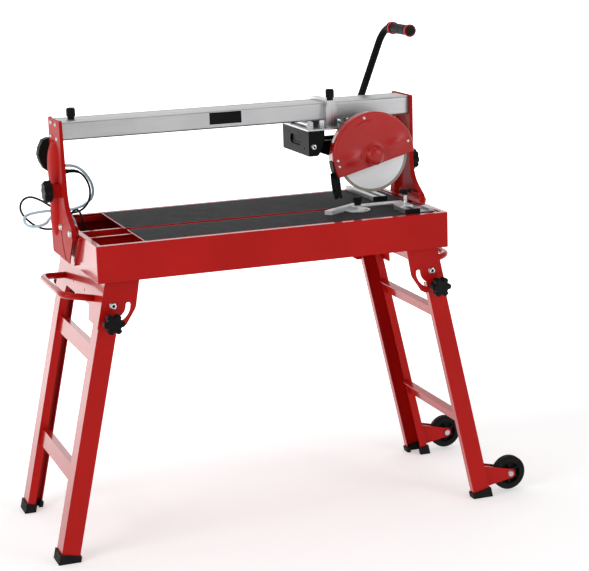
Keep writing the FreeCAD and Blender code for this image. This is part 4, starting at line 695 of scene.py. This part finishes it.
def splash_strips():
    """Rubber flap: a curved sheet cut into ragged strips at its foot."""
    low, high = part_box("splash_flap")
    left, foot = low.x - FLAP_START, low.z + FLAP_LIFT
    points, faces = [], []
    for j in range(FLAP_ROWS + 1):
        down = j / FLAP_ROWS
        for i in range(FLAP_COLUMNS + 1):
            wide = i / FLAP_COLUMNS
            strip = min(i // STRIP_COLUMNS, FLAP_COLUMNS // STRIP_COLUMNS - 1)
            torn = FLAP_TORN * abs(math.sin(2.1 * strip + 0.7)) * soft_step(down, 0.6, 1.0)
            curl = FLAP_CURL * math.sin(9 * down + strip) * soft_step(down, 0.5, 1.0)
            sway = FLAP_SWAY * math.sin(5 * down + 1.3 * strip) * down
            points.append((
                left + FLAP_W * wide + FLAP_SWEEP * down**SWEEP_POWER + curl,
                BLADE_AT.y + FLAP_OFF + FLAP_BOW * math.sin(math.pi * wide) + sway,
                high.z + (foot + torn - high.z) * down,
            ))
    across = FLAP_COLUMNS + 1
    for j in range(FLAP_ROWS):
        for i in range(FLAP_COLUMNS):
            cut = 0 < i and i % STRIP_COLUMNS == 0 and j > CUT_FROM_ROW
            if not cut:
                a = j * across + i
                faces.append((a, a + across, a + across + 1, a + 1))
    obj = piece("splash_strips", points, faces, FOOT_RUBBER, "head")
    applied(obj, "SOLIDIFY", thickness=FLAP_SHEET, offset=0.0)
    applied(obj, "BEVEL", width=FLAP_EDGE, segments=2)
    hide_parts("splash_flap")


# ---------------------------------------------------------------- sleeve, stud and weld beads
RELIEF_R = 0.0048
RELIEF_END = 0.62       # share of the first bend that it covers
RELIEF_STEPS = 44
RELIEF_PITCH = 4        # steps from rib to rib
RELIEF_SIDES = 24
RELIEF_TAPER = 0.26
RELIEF_RIB = 0.10
STUD_TURNS = 18
STUD_LENGTH = 0.0228
STUD_LIFT = 0.0006
STUD_R = 0.00435
STUD_SIDES = 28
STUD_ROOT = 0.96        # thread's root as a share of its crest
THREAD_STEPS = 4
BEAD_R = 0.0017
BEAD_SIDES = 9
BEAD_STEP = 0.0009
BEAD_STEPS_MIN = 8
BEAD_SCALE = 0.0032     # length of one weld scale
BEAD_RIPPLE = 0.18
BEAD_END = (0.2, 6)     # share of the radius at its ends, and how fast it fills out


def lead_relief():
    """Tapered rubber sleeve with ribs, which carries the gland's cone on along the lead."""
    first, second, third = (Vector(p) for p in LEAD_ROUTE[:3])
    joint = (second + third) / 2
    path, swell = [], []
    for i in range(RELIEF_STEPS + 1):
        share = i / RELIEF_STEPS
        t = RELIEF_END * share
        path.append(first.lerp(second, t).lerp(second.lerp(joint, t), t))
        on_rib = i % RELIEF_PITCH < RELIEF_PITCH / 2 and i < RELIEF_STEPS
        swell.append(1.0 - RELIEF_TAPER * share + (RELIEF_RIB if on_rib else 0.0))
    return swept(
        "lead_relief", path, RELIEF_R, RELIEF_SIDES, BLACK_PLASTIC, "table", swell
    )


def wing_stud():
    """Bright threaded stud that shows below the wing knob."""
    low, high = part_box("wing_knob")
    at = (low + high) / 2
    path, swell = [], []
    steps = STUD_TURNS * THREAD_STEPS
    for i in range(steps + 1):
        path.append(Vector((at.x, at.y, low.z + STUD_LIFT + STUD_LENGTH * i / steps)))
        swell.append(1.0 if i % THREAD_STEPS in (1, 2) else STUD_ROOT)
    swept("wing_stud", path, STUD_R, STUD_SIDES, CHROME, "guide_wing", swell)


def bead(name, start_at, end_at, body):
    """Row of overlapping weld scales between two points."""
    run = Vector(end_at) - Vector(start_at)
    count = max(BEAD_STEPS_MIN, int(run.length / BEAD_STEP))
    least, slope = BEAD_END
    path, swell = [], []
    for i in range(count + 1):
        share = i / count
        path.append(Vector(start_at) + run * share)
        scale = abs(math.sin(math.pi * share * run.length / BEAD_SCALE))
        ends = min(1.0, slope * share + least, slope * (1 - share) + least)
        swell.append((1 - BEAD_RIPPLE + BEAD_RIPPLE * scale) * ends)
    swept(name, path, BEAD_R, BEAD_SIDES, RED, body, swell)


# ---------------------------------------------------------------- legs: weld beads, bolt faces
LEG_SLANT = math.radians(12.41)
LEG_OUT = 0.0276
LEG_FLANGE = 0.0557
RUNG_INSET = 0.009
RUNG_Z = (0.529, 0.216)
RUNG_HALF = 0.0215
PIVOT_HEAD_R = 0.010
SOCKET_SIDES = 36
SOCKET_ACROSS = 0.46    # hexagon's half width as a share of the radius
# Rise as a share of the height, then the reach: a share of the radius, or of the hexagon.
SOCKET_LEVELS = (
    (0.0, 1.0, None), (0.7, 0.97, None), (1.0, 0.86, None),
    (1.0, None, 1.12), (0.8, None, 1.0), (0.1, None, 1.0),
)
PIVOT_SOCKET = (0.0078, 0.0012)     # radius and height
PLUNGE_SOCKET = (0.0062, 0.0010)


def leg_point(side, down, out):
    """Point on one end's slanted leg: down from the pivot, and out from the leg's middle line."""
    low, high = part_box("leg_pivot_bolts")
    x = low.x + PIVOT_HEAD_R if side < 0 else high.x - PIVOT_HEAD_R
    z = (low.z + high.z) / 2
    x += side * (down * math.sin(LEG_SLANT) + out * math.cos(LEG_SLANT))
    return x, z - down * math.cos(LEG_SLANT) + out * math.sin(LEG_SLANT)


def rung_welds():
    """Weld beads where the rungs meet the legs."""
    out = LEG_OUT - RUNG_INSET
    pivot_z = centre("leg_pivot_bolts").z
    rung_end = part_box("left_leg_frame")[1].y - LEG_FLANGE
    for side, end_name in ((-1, "left"), (1, "right")):
        for row, height in enumerate(RUNG_Z):
            down = (pivot_z - height + out * math.sin(LEG_SLANT)) / math.cos(LEG_SLANT)
            first_x, first_z = leg_point(side, down - RUNG_HALF, out)
            last_x, last_z = leg_point(side, down + RUNG_HALF, out)
            for y, face in ((-rung_end, "front"), (rung_end, "rear")):
                name = f"{end_name}_rung_weld_{row}_{face}"
                bead(name, (first_x, y, first_z), (last_x, y, last_z), f"{end_name}_legs")


def socket_cap(name, at, normal, size, body):
    """Bolt face with a hexagon socket: a low ring round a six-sided recess, whose floor is painted
    black as painted shade.
    """
    radius, height = size
    normal = Vector(normal).normalized()
    side = normal.orthogonal().normalized()
    other = normal.cross(side)
    sixth = math.pi / 3
    points = []
    for rise, round_share, hexagon_share in SOCKET_LEVELS:
        for angle in full_turn(SOCKET_SIDES):
            if hexagon_share is None:
                reach = round_share * radius
            else:
                off_flat = (angle + sixth / 2) % sixth - sixth / 2
                reach = hexagon_share * (radius * SOCKET_ACROSS) / math.cos(off_flat)
            around = math.cos(angle) * side + math.sin(angle) * other
            points.append(Vector(at) + rise * height * normal + reach * around)
    faces = ring_faces(len(SOCKET_LEVELS), SOCKET_SIDES, first_cap=False)
    obj = piece(name, points, faces, CHROME, body)
    # the recess floor takes the black paint: painted shade in the socket of a bright bolt
    obj.data.materials.append(BLACK_METAL)
    obj.data.polygons[len(faces) - 1].material_index = 1
    applied(obj, "EDGE_SPLIT", split_angle=EDGE_SPLIT)


def bolt_faces():
    """Sockets on both ends of the leg pivots and on the plunge bolt's head."""
    low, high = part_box("leg_pivot_bolts")
    z = (low.z + high.z) / 2
    for end_name, x in (("left", low.x + PIVOT_HEAD_R), ("right", high.x - PIVOT_HEAD_R)):
        for face, y, out in (("front", low.y, -1), ("rear", high.y, 1)):
            name = f"{end_name}_{face}_pivot_socket"
            socket_cap(name, (x, y, z), (0, out, 0), PIVOT_SOCKET, "table")
    middle = centre("plunge_bolt")
    face_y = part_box("plunge_bolt")[0].y
    socket_cap("plunge_socket", (middle.x, face_y, middle.z), (0, -1, 0), PLUNGE_SOCKET, "carriage")


# ---------------------------------------------------------------- wheels, handles, head, stop
WEB_PROFILE = (
    (-0.0030, 0.0120), (-0.0034, 0.0180), (-0.0022, 0.0260), (-0.0022, 0.0310),
    (0.0022, 0.0310), (0.0022, 0.0260), (0.0034, 0.0180), (0.0030, 0.0120),
)
WEB_SIDES = 72
TUBE_R = 0.0088
TUBE_SIDES = 24
HANDLE_REACH = 0.0742   # from the bar to the end panel
HANDLE_HALF = 0.1240    # middle to corner
HANDLE_ROOT = 0.1550    # middle to root
HANDLE_BEND = 0.032
HANDLE_FALL = 0.009     # root below the bar
HANDLE_BAR = 0.02       # half of the bar's straight middle
BEND_STEPS = 12
TERMINAL_X = (0.0048, 0.034)        # past the bracket's left side
TERMINAL_INSET = (0.012, 0.004)     # from the motor's front and back
TERMINAL_FOOT_Z = 0.978
TERMINAL_OVER = 0.004
TERMINAL_EDGE = 0.004
DISC_Z = (0.0004, 0.0034)           # over the stop's foot
DISC_BANDS = ((0.004, 0.022), (0.022, 0.027), (0.027, 0.034))
DISC_SIDES = 72
DISC_SLOT = (math.radians(200), math.radians(340))
DISC_EDGE = 0.0004


def wheel_webs():
    """Dished web that closes each wheel's hub behind its spokes."""
    for end in ("front", "rear"):
        at = centre(f"{end}_wheel_hub")
        body, name = f"{end}_wheel", f"{end}_wheel_web"
        lathe(name, at, WEB_PROFILE, WEB_SIDES, BLACK_PLASTIC, body)


def carry_tubes():
    """Bent carry handles, thicker than their plain nodes, with long bends at the corners."""
    low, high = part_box("carry_handles")
    z = (low.z + high.z) / 2
    made = []
    for end_name, side, bar_x in (("left", -1, low.x + TUBE_R), ("right", 1, high.x - TUBE_R)):
        path = []
        for half in (-1, 1):
            corner = Vector((bar_x, half * HANDLE_HALF, z))
            root = Vector((bar_x - side * HANDLE_REACH, half * HANDLE_ROOT, z - HANDLE_FALL))
            bar = Vector((bar_x, half * HANDLE_BAR, z))
            back, inward = (root - corner).normalized(), (bar - corner).normalized()
            leg = [root]
            for step in range(BEND_STEPS + 1):
                share = step / BEND_STEPS
                first = corner + back * HANDLE_BEND * (1 - share)
                second = corner + inward * HANDLE_BEND * share
                leg.append(first.lerp(second, share))
            path += leg if half < 0 else list(reversed(leg))
        name = f"{end_name}_carry_tube"
        made.append(swept(name, path, TUBE_R, TUBE_SIDES, RED, "table"))
    for obj in made:
        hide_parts("carry_handles")


def motor_terminal_box():
    """Terminal box beside the motor, next to the head bracket's left side."""
    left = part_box("head_bracket")[0].x
    motor_low, motor_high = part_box("motor")
    low = (left + TERMINAL_X[0], motor_low.y + TERMINAL_INSET[0], TERMINAL_FOOT_Z)
    high = (left + TERMINAL_X[1], motor_high.y - TERMINAL_INSET[1], motor_high.z + TERMINAL_OVER)
    rounded_block(
        "motor_terminal_box", low, high, TERMINAL_EDGE, BLACK_METAL, "head"
    )


def protractor_plate():
    """Round plate that joins the swinging bar to its post, with a long arc slot."""
    knob = centre("stop_knob")
    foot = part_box("angle_stop")[0].z
    points, faces = [], []
    for band, (near, far) in enumerate(DISC_BANDS):
        for k in range(DISC_SIDES):
            from_angle, to_angle = (2 * math.pi * step / DISC_SIDES for step in (k, k + 1))
            if band == 1 and DISC_SLOT[0] < (from_angle + to_angle) / 2 < DISC_SLOT[1]:
                continue
            c = len(points)
            for z in (foot + DISC_Z[0], foot + DISC_Z[1]):
                for reach, angle in (
                    (near, from_angle), (far, from_angle), (far, to_angle), (near, to_angle)
                ):
                    x, y = reach * math.cos(angle), reach * math.sin(angle)
                    points.append((knob.x + x, knob.y + y, z))
            faces += [(c + 3, c + 2, c + 1, c), (c + 4, c + 5, c + 6, c + 7)]
            for k0, k1 in ((0, 1), (1, 2), (2, 3), (3, 0)):
                faces.append((c + k0, c + k1, c + 4 + k1, c + 4 + k0))
    obj = piece(
        "protractor_plate", points, faces, FENCE_METAL, "guide_stop", smooth=False
    )
    clean = bmesh.new()
    clean.from_mesh(obj.data)
    bmesh.ops.remove_doubles(clean, verts=clean.verts, dist=1e-6)
    shared = {}
    for face in clean.faces:
        shared.setdefault(tuple(sorted(v.index for v in face.verts)), []).append(face)
    inner = [face for group in shared.values() if len(group) > 1 for face in group]
    bmesh.ops.delete(clean, geom=inner, context="FACES")
    sharp = [e for e in clean.edges if e.is_manifold and e.calc_face_angle(0) > 1.0]
    bmesh.ops.bevel(clean, geom=sharp, offset=DISC_EDGE, segments=2, affect="EDGES")
    clean.to_mesh(obj.data)
    clean.free()


# ---------------------------------------------------------------- studio
SWEEP = ((-30.0, 0.0), (6.0, 0.0), (6.9, 0.08), (7.7, 0.4), (8.2, 1.0), (8.4, 1.9), (8.4, 14.0))
SWEEP_SIDE = 30.0
FLOOR_GLOW = 0.42
BACK_GLOW = 1.2
HIGH_GLOW = 0.35
GLOW_Y = {"start_at": 0.3, "end_at": 2.2}
GLOW_Z = {"start_at": 1.1, "end_at": 1.7}
AIM = (0.0, 0.0, 0.7)
LIGHTS = (
    ("key", (-3.3, -1.5, 2.2), (2.0, 2.0), 40.0),
    ("fill", (2.6, -3.4, 2.0), (1.6, 1.6), 30.0),
    ("top", (0.0, 0.4, 4.0), (3.0, 2.0), 20.0),
)
WORLD_LIGHT = 0.36
WHITE = (1.0, 1.0, 1.0, 1.0)


def studio_floor():
    """Pale floor that sweeps up behind the object and glows more towards the back."""
    mesh = bpy.data.meshes.new("studio_floor")
    points = [(side, y, z) for y, z in SWEEP for side in (-SWEEP_SIDE, SWEEP_SIDE)]
    quads = [(i, i + 1, i + 3, i + 2) for i in range(0, len(points) - 2, 2)]
    mesh.from_pydata(points, [], quads)
    mesh.shade_smooth()
    obj = shown("studio_floor", mesh)
    made, tree, shader = start("studio_floor", (0.80, 0.80, 0.80), 0.8, Emission_Color=WHITE)
    apart = tree.nodes.new("ShaderNodeSeparateXYZ")
    tree.links.new(place(tree), apart.inputs["Vector"])
    glow = spread(tree, apart.outputs["Y"], FLOOR_GLOW, BACK_GLOW, **GLOW_Y)
    height = spread(tree, apart.outputs["Z"], 1.0, HIGH_GLOW / BACK_GLOW, **GLOW_Z)
    feed(
        tree, shader,
        Base_Color=tinted(tree, noise(tree, place(tree), scale=1.5), FLOOR_TONES),
        Emission_Strength=maths(tree, "MULTIPLY", glow, height),
    )
    painted(obj, made)


def area_light(name, at, size, power):
    """Rectangular light aimed at the object's middle."""
    data = bpy.data.lights.new(name, "AREA")
    data.shape = "RECTANGLE"
    data.size, data.size_y = size
    data.energy = power
    look = (Vector(AIM) - Vector(at)).to_track_quat("-Z", "Y")
    shown(name, data).matrix_world = Matrix.Translation(Vector(at)) @ look.to_matrix().to_4x4()


def studio_world():
    """Even white light from all round, shown without a film look."""
    world = bpy.data.worlds.new("studio")
    world.use_nodes = True
    background = world.node_tree.nodes["Background"]
    background.inputs["Color"].default_value = WHITE
    background.inputs["Strength"].default_value = WORLD_LIGHT
    bpy.context.scene.world = world
    bpy.context.scene.view_settings.view_transform = "Standard"


# ---------------------------------------------------------------- the rest of the build, in order
for finish, names in FINISH.items():
    for name in names:
        painted(NODES[name], finish)
painted(lead, LEAD_SHEATH)
painted(hose, HOSE_PLASTIC)
for cord, node, name in ((lead, "pump_lead", "rubber"), (hose, "water_hose", "hose")):
    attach(cord, "table")
    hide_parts(node)

guard_shell()
splash_strips()
relief = lead_relief()
wing_stud()
rung_welds()
bolt_faces()
wheel_webs()
carry_tubes()
motor_terminal_box()
protractor_plate()

studio_floor()
for light in LIGHTS:
    area_light(*light)
studio_world()
